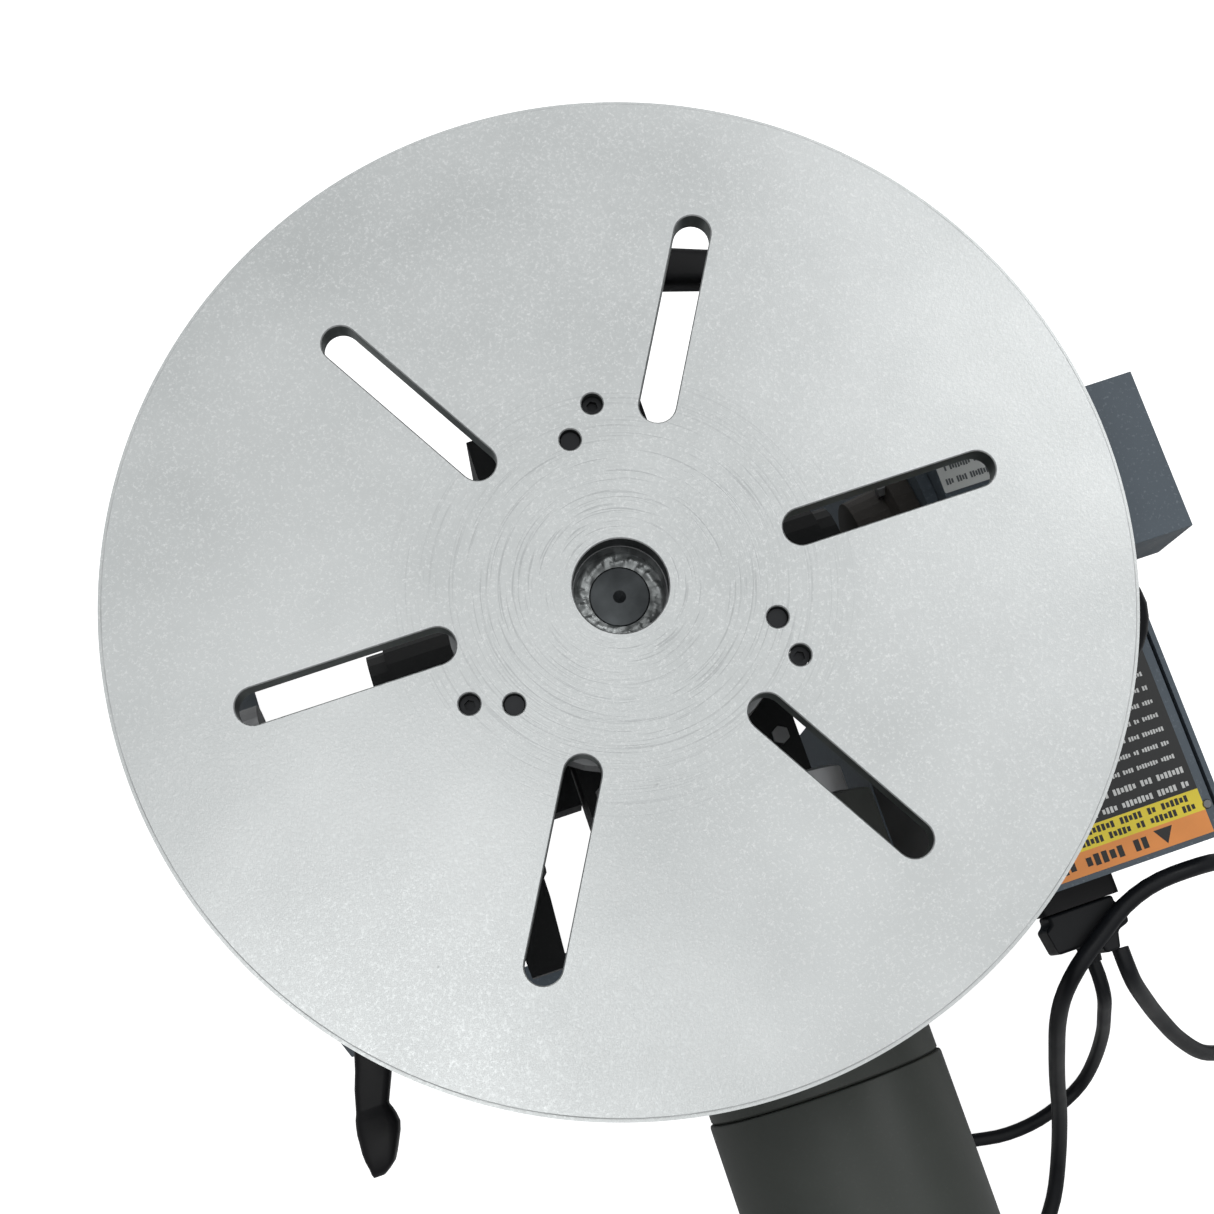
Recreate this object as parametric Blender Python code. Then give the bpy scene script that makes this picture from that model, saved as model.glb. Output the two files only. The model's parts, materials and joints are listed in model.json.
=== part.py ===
"""Powered welding positioner: a slotted round table on a worm gearbox that tilts between two side plates.

Frame: the origin is on the floor under the table's axis, +Z is up and the operator stands at -Y.
The table is level at rest.  The gearbox, the motor and the table tilt together about the X axis.
"""
import math

import bmesh
import bpy
from mathutils import Matrix, Vector

MM = 0.001
CLEAR = 0.3 * MM            # gap between pieces that touch or run in each other

# Table
TABLE_TOP = 345 * MM
TABLE_RADIUS = 200 * MM
TABLE_THICKNESS = 12 * MM
TABLE_CHAMFER = 1.5 * MM
BORE_RADIUS = 18.6 * MM
SLOT_COUNT = 6
SLOT_INNER = 73.8 * MM      # centre of each slot's inner round end
SLOT_OUTER = 146.6 * MM
SLOT_WIDTH = 14.5 * MM
HOLE_RADIUS = 4.25 * MM
INNER_HOLE_CIRCLE = 61.3 * MM
OUTER_HOLE_CIRCLE = 73.55 * MM
INNER_HOLE_ANGLE = 270
OUTER_HOLE_ANGLE = 260
HUB_RADIUS = 69 * MM
HUB_THICKNESS = 18 * MM
HUB_RECESS = 9 * MM
HUB_BOSS_RADIUS = 21 * MM
HUB_BOSS_LENGTH = 29 * MM
SPINDLE_RADIUS = 12.5 * MM

# Tilt axis and worm drive
TILT_AXIS = 240 * MM
DRIVE_HEIGHT = 228 * MM     # worm and motor axes
WORM_MODULE = 1.4 * MM
WHEEL_TEETH = 40
WORM_PITCH_RADIUS = 10 * MM
WHEEL_FACE = 16 * MM
GEAR_MODULE = 0.7 * MM
PINION_TEETH = 11
GEAR_TEETH = 33

# Gearbox casing
CASE_RIGHT = 35.5 * MM
CASE_LEFT = 42 * MM
CASE_FRONT = 97 * MM
CASE_REAR = 83 * MM
CASE_BOTTOM = 194 * MM
CASE_TOP = 250 * MM
CASE_FLOOR = 10 * MM
COVER_THICKNESS = 12 * MM
COVER_BOSS = 10 * MM
WORM_BULGE = 58 * MM        # left face of the bulge that holds the worm
WORM_BULGE_FRONT = 55 * MM
WORM_TUNNEL = 13 * MM
BEARING_WIDTH = 9 * MM
SPINDLE_BEARING_RADIUS = 23.5 * MM

# Motor
ADAPTER_RADIUS = 52 * MM
ADAPTER_THICKNESS = 12.7 * MM
GEARHEAD_RADIUS = 61 * MM
GEARHEAD_LENGTH = 54 * MM
BELL_RADIUS = 50.2 * MM
BELL_LENGTH = 58 * MM
MOTOR_RADIUS = 51.3 * MM
MOTOR_LENGTH = 144 * MM
MOTOR_WALL = 4 * MM
END_CAP_LENGTH = 14 * MM
ROTOR_RADIUS = 26 * MM

# Stop arm cast onto the right trunnion: its notched outline in mm, from the casing round to the front
STOP_ARM = ((57, 64), (58, 75), (60, 77), (60, 85), (62, 87), (62, 97), (64, 127), (80, 127), (84, 58), (70, 20))
STOP_ARM_LOW = 208 * MM
STOP_ARM_HIGH = 234 * MM

# Side plates and base
LEFT_PLATE = 143.7 * MM     # outer face, on the -X side
RIGHT_PLATE = 178 * MM      # inner face, on the +X side
PLATE_THICKNESS = 5 * MM
FLOOR_GAP = 8 * MM          # the feet lift the base by this much
BASE_FRONT = 150 * MM
RIGHT_PLATE_REAR = 130 * MM
LEFT_PLATE_REAR = 47 * MM
FOOT_FLANGE = 30 * MM
TILT_SHAFT_RADIUS = 12 * MM
CROSS_HEIGHT = 24 * MM
CROSS_WALL = 3 * MM
FRONT_CROSS_INSET = 16 * MM

# Tilt lock
QUADRANT_RADIUS = 62 * MM
QUADRANT_THICKNESS = 5 * MM
QUADRANT_GAP = 4.5 * MM     # room for the spacer between quadrant and side plate
LOCK_STUD_RADIUS = 5 * MM
LOCK_ANGLE = 15             # the stud's place round the tilt axis, up from +Y
TILT_RANGE = 90

# Power box and control housing on the -X side
BOX_LEFT = 237 * MM
BOX_RIGHT = 90 * MM
BOX_FRONT = 48 * MM
BOX_REAR = 165 * MM
BOX_TOP = 197 * MM
BOX_WALL = 2.4 * MM
BOX_LIP = 3.5 * MM          # the left wall stands this far above the others
LID_THICKNESS = 1.8 * MM
LID_GROOVE = 1.3 * MM
HOUSING_LEFT = 237 * MM
HOUSING_FRONT = -29 * MM
HOUSING_REAR = 41 * MM
HOUSING_TOP = 295 * MM
HOUSING_HEIGHT = 50 * MM
HOUSING_WALL = 1.5 * MM
ARCH_RADIUS = 15 * MM
CONTROL_CABLE_RADIUS = 4 * MM

# Leads
MAINS_LEAD_RADIUS = 4 * MM
MAINS_COIL_INNER = 28 * MM      # flat coils, one turn high
MAINS_COIL_OUTER = 64 * MM
MAINS_COIL_AT = (-46 * MM, 353 * MM)
PEDAL_LEAD_RADIUS = 3.5 * MM
PEDAL_COIL_INNER = 24.5 * MM
PEDAL_COIL_OUTER = 56 * MM
PEDAL_COIL_AT = (-42 * MM, 228 * MM)
PEDAL_PLUG_X = -176 * MM
PEDAL_PLUG_HEIGHT = 121 * MM
PEDAL_PLUG_LENGTH = 38 * MM

WORM_X = -(WHEEL_TEETH * WORM_MODULE / 2 + WORM_PITCH_RADIUS)
GEAR_DISTANCE = (PINION_TEETH + GEAR_TEETH) * GEAR_MODULE / 2
MOTOR_X = WORM_X + GEAR_DISTANCE
TABLE_BOTTOM = TABLE_TOP - TABLE_THICKNESS
HUB_BOTTOM = TABLE_BOTTOM - HUB_THICKNESS
COVER_BOTTOM = CASE_TOP + CLEAR
COVER_TOP = COVER_BOTTOM + COVER_THICKNESS
ADAPTER_Y = CASE_REAR + CLEAR
GEARHEAD_Y = ADAPTER_Y + ADAPTER_THICKNESS + CLEAR
BELL_Y = GEARHEAD_Y + GEARHEAD_LENGTH + CLEAR
MOTOR_Y = BELL_Y + BELL_LENGTH + CLEAR
END_CAP_Y = MOTOR_Y + MOTOR_LENGTH + CLEAR

COLOURS = {
    "ground_steel": ((0.62, 0.64, 0.64), 0.35, 1.0),
    "dark_steel": ((0.22, 0.23, 0.24), 0.45, 1.0),
    "bronze": ((0.55, 0.38, 0.16), 0.4, 1.0),
    "aluminium": ((0.55, 0.56, 0.57), 0.45, 1.0),
    "black_paint": ((0.02, 0.022, 0.024), 0.5, 0.0),
    "olive_grey_paint": ((0.10, 0.11, 0.10), 0.4, 0.0),
    "slate_paint": ((0.19, 0.23, 0.27), 0.55, 0.0),
    "cast_grey": ((0.24, 0.23, 0.22), 0.6, 0.2),
    "black_plastic": ((0.012, 0.012, 0.013), 0.45, 0.0),
    "black_rubber": ((0.010, 0.010, 0.011), 0.7, 0.0),
    "copper": ((0.45, 0.20, 0.10), 0.4, 1.0),
}
AXES = {
    "Z": Matrix.Identity(4),
    "X": Matrix(((0, 0, 1, 0), (1, 0, 0, 0), (0, 1, 0, 0), (0, 0, 0, 1))),
    "Y": Matrix(((1, 0, 0, 0), (0, 0, 1, 0), (0, 1, 0, 0), (0, 0, 0, 1))),
}


def clear_scene():
    for item in list(bpy.data.objects):
        bpy.data.objects.remove(item, do_unlink=True)


def make_materials():
    made = {}
    for name, (colour, roughness, metallic) in COLOURS.items():
        material = bpy.data.materials.new(name)
        material.use_nodes = True
        shader = material.node_tree.nodes["Principled BSDF"]
        shader.inputs["Base Color"].default_value = (*colour, 1.0)
        shader.inputs["Roughness"].default_value = roughness
        shader.inputs["Metallic"].default_value = metallic
        made[name] = material
    return made


# ---- outlines: lists of (u, v) points ----

def circle(radius, count, u=0.0, v=0.0):
    return [(u + radius * math.cos(2 * math.pi * i / count), v + radius * math.sin(2 * math.pi * i / count))
            for i in range(count)]


def rectangle(u0, v0, u1, v1):
    return [(u0, v0), (u1, v0), (u1, v1), (u0, v1)]


def arc(radius, start, end, count, u=0.0, v=0.0):
    """Points on an arc from start to end, in degrees."""
    angles = [math.radians(start + (end - start) * i / count) for i in range(count + 1)]
    return [(u + radius * math.cos(a), v + radius * math.sin(a)) for a in angles]


def rounded_rectangle(u0, v0, u1, v1, radius, count=4):
    corners = ((u1 - radius, v1 - radius, 0), (u0 + radius, v1 - radius, 90),
               (u0 + radius, v0 + radius, 180), (u1 - radius, v0 + radius, 270))
    points = []
    for u, v, start in corners:
        points += arc(radius, start, start + 90, count, u, v)
    return points


def radial_slot(inner, outer, width, angle, count=8):
    """A slot with round ends, along the ray at the given angle."""
    shape = arc(width / 2, -90, 90, count, outer) + arc(width / 2, 90, 270, count, inner)
    turn = math.radians(angle)
    return [(u * math.cos(turn) - v * math.sin(turn), u * math.sin(turn) + v * math.cos(turn)) for u, v in shape]


def polar(radius, angle):
    return (radius * math.cos(math.radians(angle)), radius * math.sin(math.radians(angle)))


# ---- solids: bmesh shapes in world coordinates ----

def extrude_outline(outer, holes, low, high, axis="Z"):
    """Extrude a flat outline with holes from low to high along an axis."""
    shape = bmesh.new()
    edges = []
    for loop in [outer] + list(holes):
        verts = [shape.verts.new((u, v, low)) for u, v in loop]
        edges += [shape.edges.new(pair) for pair in zip(verts, verts[1:] + verts[:1])]
    bmesh.ops.triangle_fill(shape, use_beauty=True, use_dissolve=False, edges=edges)
    lifted = bmesh.ops.extrude_face_region(shape, geom=shape.faces[:])["geom"]
    lifted = [item for item in lifted if isinstance(item, bmesh.types.BMVert)]
    bmesh.ops.translate(shape, verts=lifted, vec=(0, 0, high - low))
    return finish_shape(shape, axis)


def block(low, high):
    """A box between two opposite corners."""
    return extrude_outline(rectangle(low[0], low[1], high[0], high[1]), [], low[2], high[2])


def turned(profile, count, axis="Z", centre=(0.0, 0.0)):
    """Turn a closed profile of (radius, height) points about an axis through centre."""
    shape = bmesh.new()
    rings = []
    for radius, height in profile:
        if radius < 1e-9:
            rings.append([shape.verts.new((centre[0], centre[1], height))])
        else:
            rings.append([shape.verts.new((u, v, height)) for u, v in circle(radius, count, *centre)])
    for ring, after in zip(rings, rings[1:] + rings[:1]):
        for i in range(count):
            corners = [ring[i % len(ring)], ring[(i + 1) % len(ring)],
                       after[(i + 1) % len(after)], after[i % len(after)]]
            corners = list(dict.fromkeys(corners))
            if len(corners) > 2:
                shape.faces.new(corners)
    return finish_shape(shape, axis)


def rod(radius, low, high, count, axis="Z", centre=(0.0, 0.0), chamfer=0.0):
    profile = [(0, low), (radius - chamfer, low)]
    if chamfer:
        profile += [(radius, low + chamfer), (radius, high - chamfer)]
    profile += [(radius - chamfer, high), (0, high)]
    return turned(profile, count, axis, centre)


def ring(inner, outer, low, high, count, axis="Z", centre=(0.0, 0.0)):
    return turned([(inner, low), (outer, low), (outer, high), (inner, high)], count, axis, centre)


def finish_shape(shape, axis):
    bmesh.ops.transform(shape, matrix=AXES[axis], verts=shape.verts[:])
    bmesh.ops.recalc_face_normals(shape, faces=shape.faces[:])
    return shape


def merge(shapes):
    """Put several shapes into one mesh; the bodies stay separate, as cutters may."""
    whole = bmesh.new()
    for shape in shapes:
        mesh = bpy.data.meshes.new("part")
        shape.to_mesh(mesh)
        shape.free()
        whole.from_mesh(mesh)
        bpy.data.meshes.remove(mesh)
    return whole


def gear(teeth, root, tip, root_share, tip_share, low, high, bore, first_angle, lead=0.0, layers=1):
    """A gear of straight-sided teeth; lead twists it, in radians per metre."""
    shape = bmesh.new()
    pitch = 2 * math.pi / teeth
    outline = []
    for i in range(teeth):
        middle = first_angle + i * pitch
        outline += [(root, middle - root_share * pitch / 2), (tip, middle - tip_share * pitch / 2),
                    (tip, middle + tip_share * pitch / 2), (root, middle + root_share * pitch / 2)]
    outer, inner = [], []
    for layer in range(layers + 1):
        height = low + (high - low) * layer / layers
        turn = lead * (height - (low + high) / 2)
        outer.append([shape.verts.new((r * math.cos(a + turn), r * math.sin(a + turn), height)) for r, a in outline])
        inner.append([shape.verts.new((bore * math.cos(a + turn), bore * math.sin(a + turn), height))
                      for _, a in outline])
    count = len(outline)
    for i in range(count):
        j = (i + 1) % count
        for below, above in zip(outer, outer[1:]):
            shape.faces.new((below[i], below[j], above[j], above[i]))
        shape.faces.new((inner[0][j], inner[0][i], inner[-1][i], inner[-1][j]))
        shape.faces.new((outer[-1][i], outer[-1][j], inner[-1][j], inner[-1][i]))
        shape.faces.new((outer[0][j], outer[0][i], inner[0][i], inner[0][j]))
    bmesh.ops.delete(shape, geom=[v for v in shape.verts if not v.link_faces], context="VERTS")
    return shape


# ---- objects ----

class Builder:
    """Makes the named objects and keeps the empties that stand on the joint axes."""

    def __init__(self):
        self.materials = make_materials()
        self.places = {}

    def pivot(self, name, place, parent=None):
        empty = bpy.data.objects.new(name, None)
        empty.empty_display_size = 0.03
        bpy.context.scene.collection.objects.link(empty)
        place = Vector(place)
        empty.parent = parent
        empty.location = place - (self.places[parent.name] if parent else Vector())
        self.places[name] = place
        return empty

    def add(self, name, shape, material, parent, smooth=True):
        """Make an object from a shape given in world coordinates."""
        mesh = bpy.data.meshes.new(name)
        bmesh.ops.translate(shape, verts=shape.verts[:], vec=-self.places[parent.name])
        shape.to_mesh(mesh)
        shape.free()
        mesh.materials.append(self.materials[material])
        if smooth:
            mesh.shade_smooth()
            mesh.set_sharp_from_angle(angle=math.radians(32))
        made = bpy.data.objects.new(name, mesh)
        made.parent = parent
        bpy.context.scene.collection.objects.link(made)
        return made

    def apply_tool(self, target, shape, operation):
        """Cut a shape out of an object, or join it on, with a Boolean."""
        mesh = bpy.data.meshes.new(target.name + "_tool")
        shape.to_mesh(mesh)
        shape.free()
        tool = bpy.data.objects.new(target.name + "_tool", mesh)
        tool.hide_render = True
        tool.display_type = "WIRE"
        bpy.context.scene.collection.objects.link(tool)
        step = target.modifiers.new(operation.lower(), "BOOLEAN")
        step.operation = operation
        step.solver = "EXACT"
        step.object = tool
        return tool

    def cut(self, target, shape):
        return self.apply_tool(target, shape, "DIFFERENCE")

    def join(self, target, shape):
        return self.apply_tool(target, shape, "UNION")

    def cord(self, name, points, radius, material, parent, resolution):
        """A round tube along points, as a curve with a bevel and filled ends."""
        curve = bpy.data.curves.new(name, "CURVE")
        curve.dimensions = "3D"
        curve.bevel_depth = radius
        curve.bevel_resolution = resolution
        curve.use_fill_caps = True
        spline = curve.splines.new("POLY")
        spline.points.add(len(points) - 1)
        home = self.places[parent.name]
        for target, point in zip(spline.points, points):
            target.co = (*(Vector(point) - home), 1.0)
        curve.materials.append(self.materials[material])
        made = bpy.data.objects.new(name, curve)
        made.parent = parent
        bpy.context.scene.collection.objects.link(made)
        return made


def smooth_route(points, step, straight=0.0):
    """Points every step along a Catmull-Rom curve through the route's points, after a short straight start."""
    route = [Vector(p) for p in points]
    padded = [route[0] * 2 - route[1]] + route + [route[-1] * 2 - route[-2]]
    dense = []
    for a, b, c, d in zip(padded, padded[1:], padded[2:], padded[3:]):
        for i in range(24):
            t = i / 24
            dense.append(0.5 * (2 * b + (c - a) * t + (2 * a - 5 * b + 4 * c - d) * t ** 2
                                + (3 * b - a - 3 * c + d) * t ** 3))
    dense.append(route[-1])
    lengths = [0.0]
    for a, b in zip(dense, dense[1:]):
        lengths.append(lengths[-1] + (b - a).length)
    count = max(2, round(lengths[-1] / step))
    picked = [route[0] - (route[1] - route[0]).normalized() * straight] if straight else []
    at = 0
    for i in range(count + 1):
        goal = lengths[-1] * i / count
        while at < len(dense) - 2 and lengths[at + 1] < goal:
            at += 1
        share = (goal - lengths[at]) / (lengths[at + 1] - lengths[at])
        picked.append(dense[at].lerp(dense[at + 1], share))
    return picked


# ---- table ----

def make_table(build, spin):
    pitch = 360 / SLOT_COUNT
    holes = [circle(BORE_RADIUS, 40)]
    holes += [radial_slot(SLOT_INNER, SLOT_OUTER, SLOT_WIDTH, i * pitch) for i in range(SLOT_COUNT)]
    for circle_radius, first in ((INNER_HOLE_CIRCLE, INNER_HOLE_ANGLE), (OUTER_HOLE_CIRCLE, OUTER_HOLE_ANGLE)):
        holes += [circle(HOLE_RADIUS, 14, *polar(circle_radius, first + 120 * i)) for i in range(3)]
    plate = extrude_outline(circle(TABLE_RADIUS, 96), holes, TABLE_BOTTOM, TABLE_TOP)
    rim = [e for e in plate.edges if abs(e.verts[0].co.z - e.verts[1].co.z) < 1e-6
           and all(v.co.xy.length > TABLE_RADIUS - 1e-5 for v in e.verts)
           and e.calc_length() < TABLE_RADIUS * 0.1]
    bmesh.ops.bevel(plate, geom=rim, offset=TABLE_CHAMFER, segments=1, affect="EDGES")
    build.add("table_plate", plate, "ground_steel", spin)

    recess_floor = TABLE_BOTTOM - HUB_RECESS
    bore = SPINDLE_RADIUS + CLEAR
    boss_bottom = HUB_BOTTOM - HUB_BOSS_LENGTH
    profile = [(bore, boss_bottom), (HUB_BOSS_RADIUS, boss_bottom), (HUB_BOSS_RADIUS, HUB_BOTTOM),
               (HUB_RADIUS, HUB_BOTTOM), (HUB_RADIUS, TABLE_BOTTOM - CLEAR),
               (BORE_RADIUS - CLEAR, TABLE_BOTTOM - CLEAR), (BORE_RADIUS - 1 * MM, recess_floor),
               (bore, recess_floor)]
    hub = build.add("hub_flange", turned(profile, 36), "dark_steel", spin)
    bolts = [polar(INNER_HOLE_CIRCLE, INNER_HOLE_ANGLE + 120 * i) for i in range(3)]
    build.cut(hub, merge([rod(HOLE_RADIUS, HUB_BOTTOM - MM, TABLE_BOTTOM + MM, 14, centre=at) for at in bolts]))
    head = 13 / math.sqrt(3) * MM
    shank = HOLE_RADIUS - 0.4 * MM
    for number, at in enumerate(bolts, 1):
        base = HUB_BOTTOM - CLEAR
        bolt = turned([(0, base - 5.3 * MM), (head, base - 5.3 * MM), (head, base)] + [(shank, base),
                      (shank, TABLE_TOP - 3 * MM), (0, TABLE_TOP - 3 * MM)], 12, centre=at)
        build.add(f"hub_bolt_{number}", bolt, "dark_steel", spin)

    foot = CASE_BOTTOM + 1 * MM
    spindle = [(0, foot), (SPINDLE_RADIUS - MM, foot), (SPINDLE_RADIUS, foot + MM),
               (SPINDLE_RADIUS, recess_floor - MM), (SPINDLE_RADIUS - MM, recess_floor), (2.6 * MM, recess_floor),
               (0, recess_floor - 2.2 * MM)]
    build.add("spindle", turned(spindle, 24), "dark_steel", spin)

    pitch_radius = WHEEL_TEETH * WORM_MODULE / 2
    lead = math.tan(WORM_MODULE / 2 / WORM_PITCH_RADIUS) / pitch_radius
    wheel = gear(WHEEL_TEETH, pitch_radius - 1.75 * WORM_MODULE / 1.4, pitch_radius + 1.0 * MM, 0.52, 0.26,
                 DRIVE_HEIGHT - WHEEL_FACE / 2, DRIVE_HEIGHT + WHEEL_FACE / 2, SPINDLE_RADIUS + CLEAR,
                 math.pi, -lead)
    build.add("worm_wheel", wheel, "bronze", spin, smooth=False)


# ---- worm drive ----

def make_worm(build, worm):
    shaft_front = -(WORM_BULGE_FRONT - 8 * MM)
    shaft_rear = GEARHEAD_Y + 24 * MM
    neck = 7 * MM
    root = WORM_PITCH_RADIUS - 1.7 * MM
    run = 3 * math.pi * WORM_MODULE
    shaft = turned([(0, shaft_front), (neck, shaft_front), (neck, -run), (root, -run), (root, run), (neck, run),
                    (neck, shaft_rear), (0, shaft_rear)], 20, "Y", (WORM_X, DRIVE_HEIGHT))
    body = build.add("worm_shaft", shaft, "dark_steel", worm)
    return body


def make_thread(build, body):
    """Join the worm's single-start thread onto its shaft."""
    pitch = math.pi * WORM_MODULE
    root = WORM_PITCH_RADIUS - 1.9 * MM
    tip = WORM_PITCH_RADIUS + 0.9 * MM
    around = 14
    turns = 5
    shape = bmesh.new()
    rows = []
    steps = turns * around
    for i in range(steps + 1):
        angle = 2 * math.pi * i / around
        along = (i / around - turns / 2) * pitch
        section = ((root, -0.24), (tip, -0.12), (tip, 0.12), (root, 0.24))
        rows.append([shape.verts.new((WORM_X + r * math.cos(angle), along + share * pitch,
                                      DRIVE_HEIGHT + r * math.sin(angle))) for r, share in section])
    for row, after in zip(rows, rows[1:]):
        for j in range(4):
            k = (j + 1) % 4
            shape.faces.new((row[j], row[k], after[k], after[j]))
    shape.faces.new(rows[0])
    shape.faces.new(rows[-1])
    bmesh.ops.recalc_face_normals(shape, faces=shape.faces[:])
    tool = build.join(body, shape)
    return tool


def make_drive(build, worm, rotor):
    body = make_worm(build, worm)
    make_thread(build, body)
    face = (GEARHEAD_Y + 9 * MM, GEARHEAD_Y + 21 * MM)
    gear_radius = GEAR_TEETH * GEAR_MODULE / 2
    wheel = gear(GEAR_TEETH, gear_radius - 0.75 * MM, gear_radius + 0.45 * MM, 0.5, 0.26, *face,
                 7 * MM + CLEAR, 0.0)
    place(wheel, WORM_X)
    build.add("reduction_gear", wheel, "dark_steel", worm, smooth=False)
    pinion_radius = PINION_TEETH * GEAR_MODULE / 2
    pinion = gear(PINION_TEETH, pinion_radius - 0.8 * MM, pinion_radius + 0.45 * MM, 0.46, 0.2, *face,
                  2 * MM + CLEAR, math.pi + math.pi / PINION_TEETH)
    place(pinion, MOTOR_X)
    build.add("motor_pinion", pinion, "dark_steel", rotor, smooth=False)
    thin, thick = 2 * MM, 5 * MM
    pack_front, pack_rear = MOTOR_Y + 10 * MM, MOTOR_Y + MOTOR_LENGTH - 26 * MM
    profile = [(0, face[0] - 3 * MM), (thin, face[0] - 3 * MM), (thin, face[1] + 2 * MM),
               (thick, face[1] + 2 * MM), (thick, pack_front), (ROTOR_RADIUS, pack_front),
               (ROTOR_RADIUS, pack_rear), (thick, pack_rear), (thick, END_CAP_Y + 6 * MM), (0, END_CAP_Y + 6 * MM)]
    build.add("rotor", turned(profile, 24, "Y", (MOTOR_X, DRIVE_HEIGHT)), "copper", rotor)


def place(shape, x):
    """Stand a gear made about Z along the Y axis at the drive's height."""
    bmesh.ops.transform(shape, matrix=AXES["Y"], verts=shape.verts[:])
    bmesh.ops.translate(shape, verts=shape.verts[:], vec=(x, 0, DRIVE_HEIGHT))
    bmesh.ops.recalc_face_normals(shape, faces=shape.faces[:])


# ---- gearbox ----

def case_outline(inset=0.0):
    """Plan of the gearbox casing, with the worm's bulge on the -X side."""
    return [(CASE_RIGHT - inset, -CASE_FRONT + inset), (CASE_RIGHT - inset, CASE_REAR - inset),
            (-WORM_BULGE + inset, CASE_REAR - inset), (-WORM_BULGE + inset, -WORM_BULGE_FRONT + inset),
            (-CASE_LEFT + inset, -WORM_BULGE_FRONT + inset), (-CASE_LEFT + inset, -CASE_FRONT + inset)]


def make_gearbox(build, tilt):
    wheel_room = WHEEL_TEETH * WORM_MODULE / 2 + 2.6 * MM
    drive = (WORM_X, DRIVE_HEIGHT)
    case = build.add("gearbox_housing", extrude_outline(case_outline(), [], CASE_BOTTOM, CASE_TOP),
                     "black_paint", tilt)
    build.cut(case, rod(wheel_room, CASE_BOTTOM + CASE_FLOOR, CASE_TOP + MM, 40))
    build.cut(case, rod(SPINDLE_BEARING_RADIUS + CLEAR, CASE_BOTTOM - MM, CASE_BOTTOM + CASE_FLOOR + MM, 32))
    build.cut(case, rod(WORM_TUNNEL, -WORM_BULGE_FRONT + 7 * MM, CASE_REAR + MM, 24, "Y", drive))
    pocket = rectangle(-CASE_LEFT + 8 * MM, -CASE_FRONT + 8 * MM, CASE_RIGHT - 8 * MM, -wheel_room - 8 * MM)
    build.cut(case, extrude_outline(pocket, [], CASE_BOTTOM + CASE_FLOOR, CASE_TOP + MM))

    cover = build.add("gearbox_cover", extrude_outline(case_outline(), [], COVER_BOTTOM, COVER_TOP),
                      "black_paint", tilt)
    build.join(cover, rod(SPINDLE_BEARING_RADIUS + 8 * MM, COVER_BOTTOM + 2 * MM, COVER_TOP + COVER_BOSS, 32))
    build.cut(cover, rod(SPINDLE_BEARING_RADIUS + CLEAR, COVER_BOTTOM - MM, COVER_TOP + COVER_BOSS + MM, 32))

    bore = SPINDLE_RADIUS + CLEAR
    for name, low in (("spindle_bearing_lower", CASE_BOTTOM + 0.5 * MM), ("spindle_bearing_upper", COVER_TOP - MM)):
        build.add(name, ring(bore, SPINDLE_BEARING_RADIUS, low, low + BEARING_WIDTH, 28), "aluminium", tilt)
    neck = 7 * MM + CLEAR
    for name, low in (("worm_bearing_front", -WORM_BULGE_FRONT + 8 * MM), ("worm_bearing_rear", CASE_REAR - 13 * MM)):
        build.add(name, ring(neck, WORM_TUNNEL - CLEAR, low, low + BEARING_WIDTH, 20, "Y", drive), "aluminium", tilt)


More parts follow.
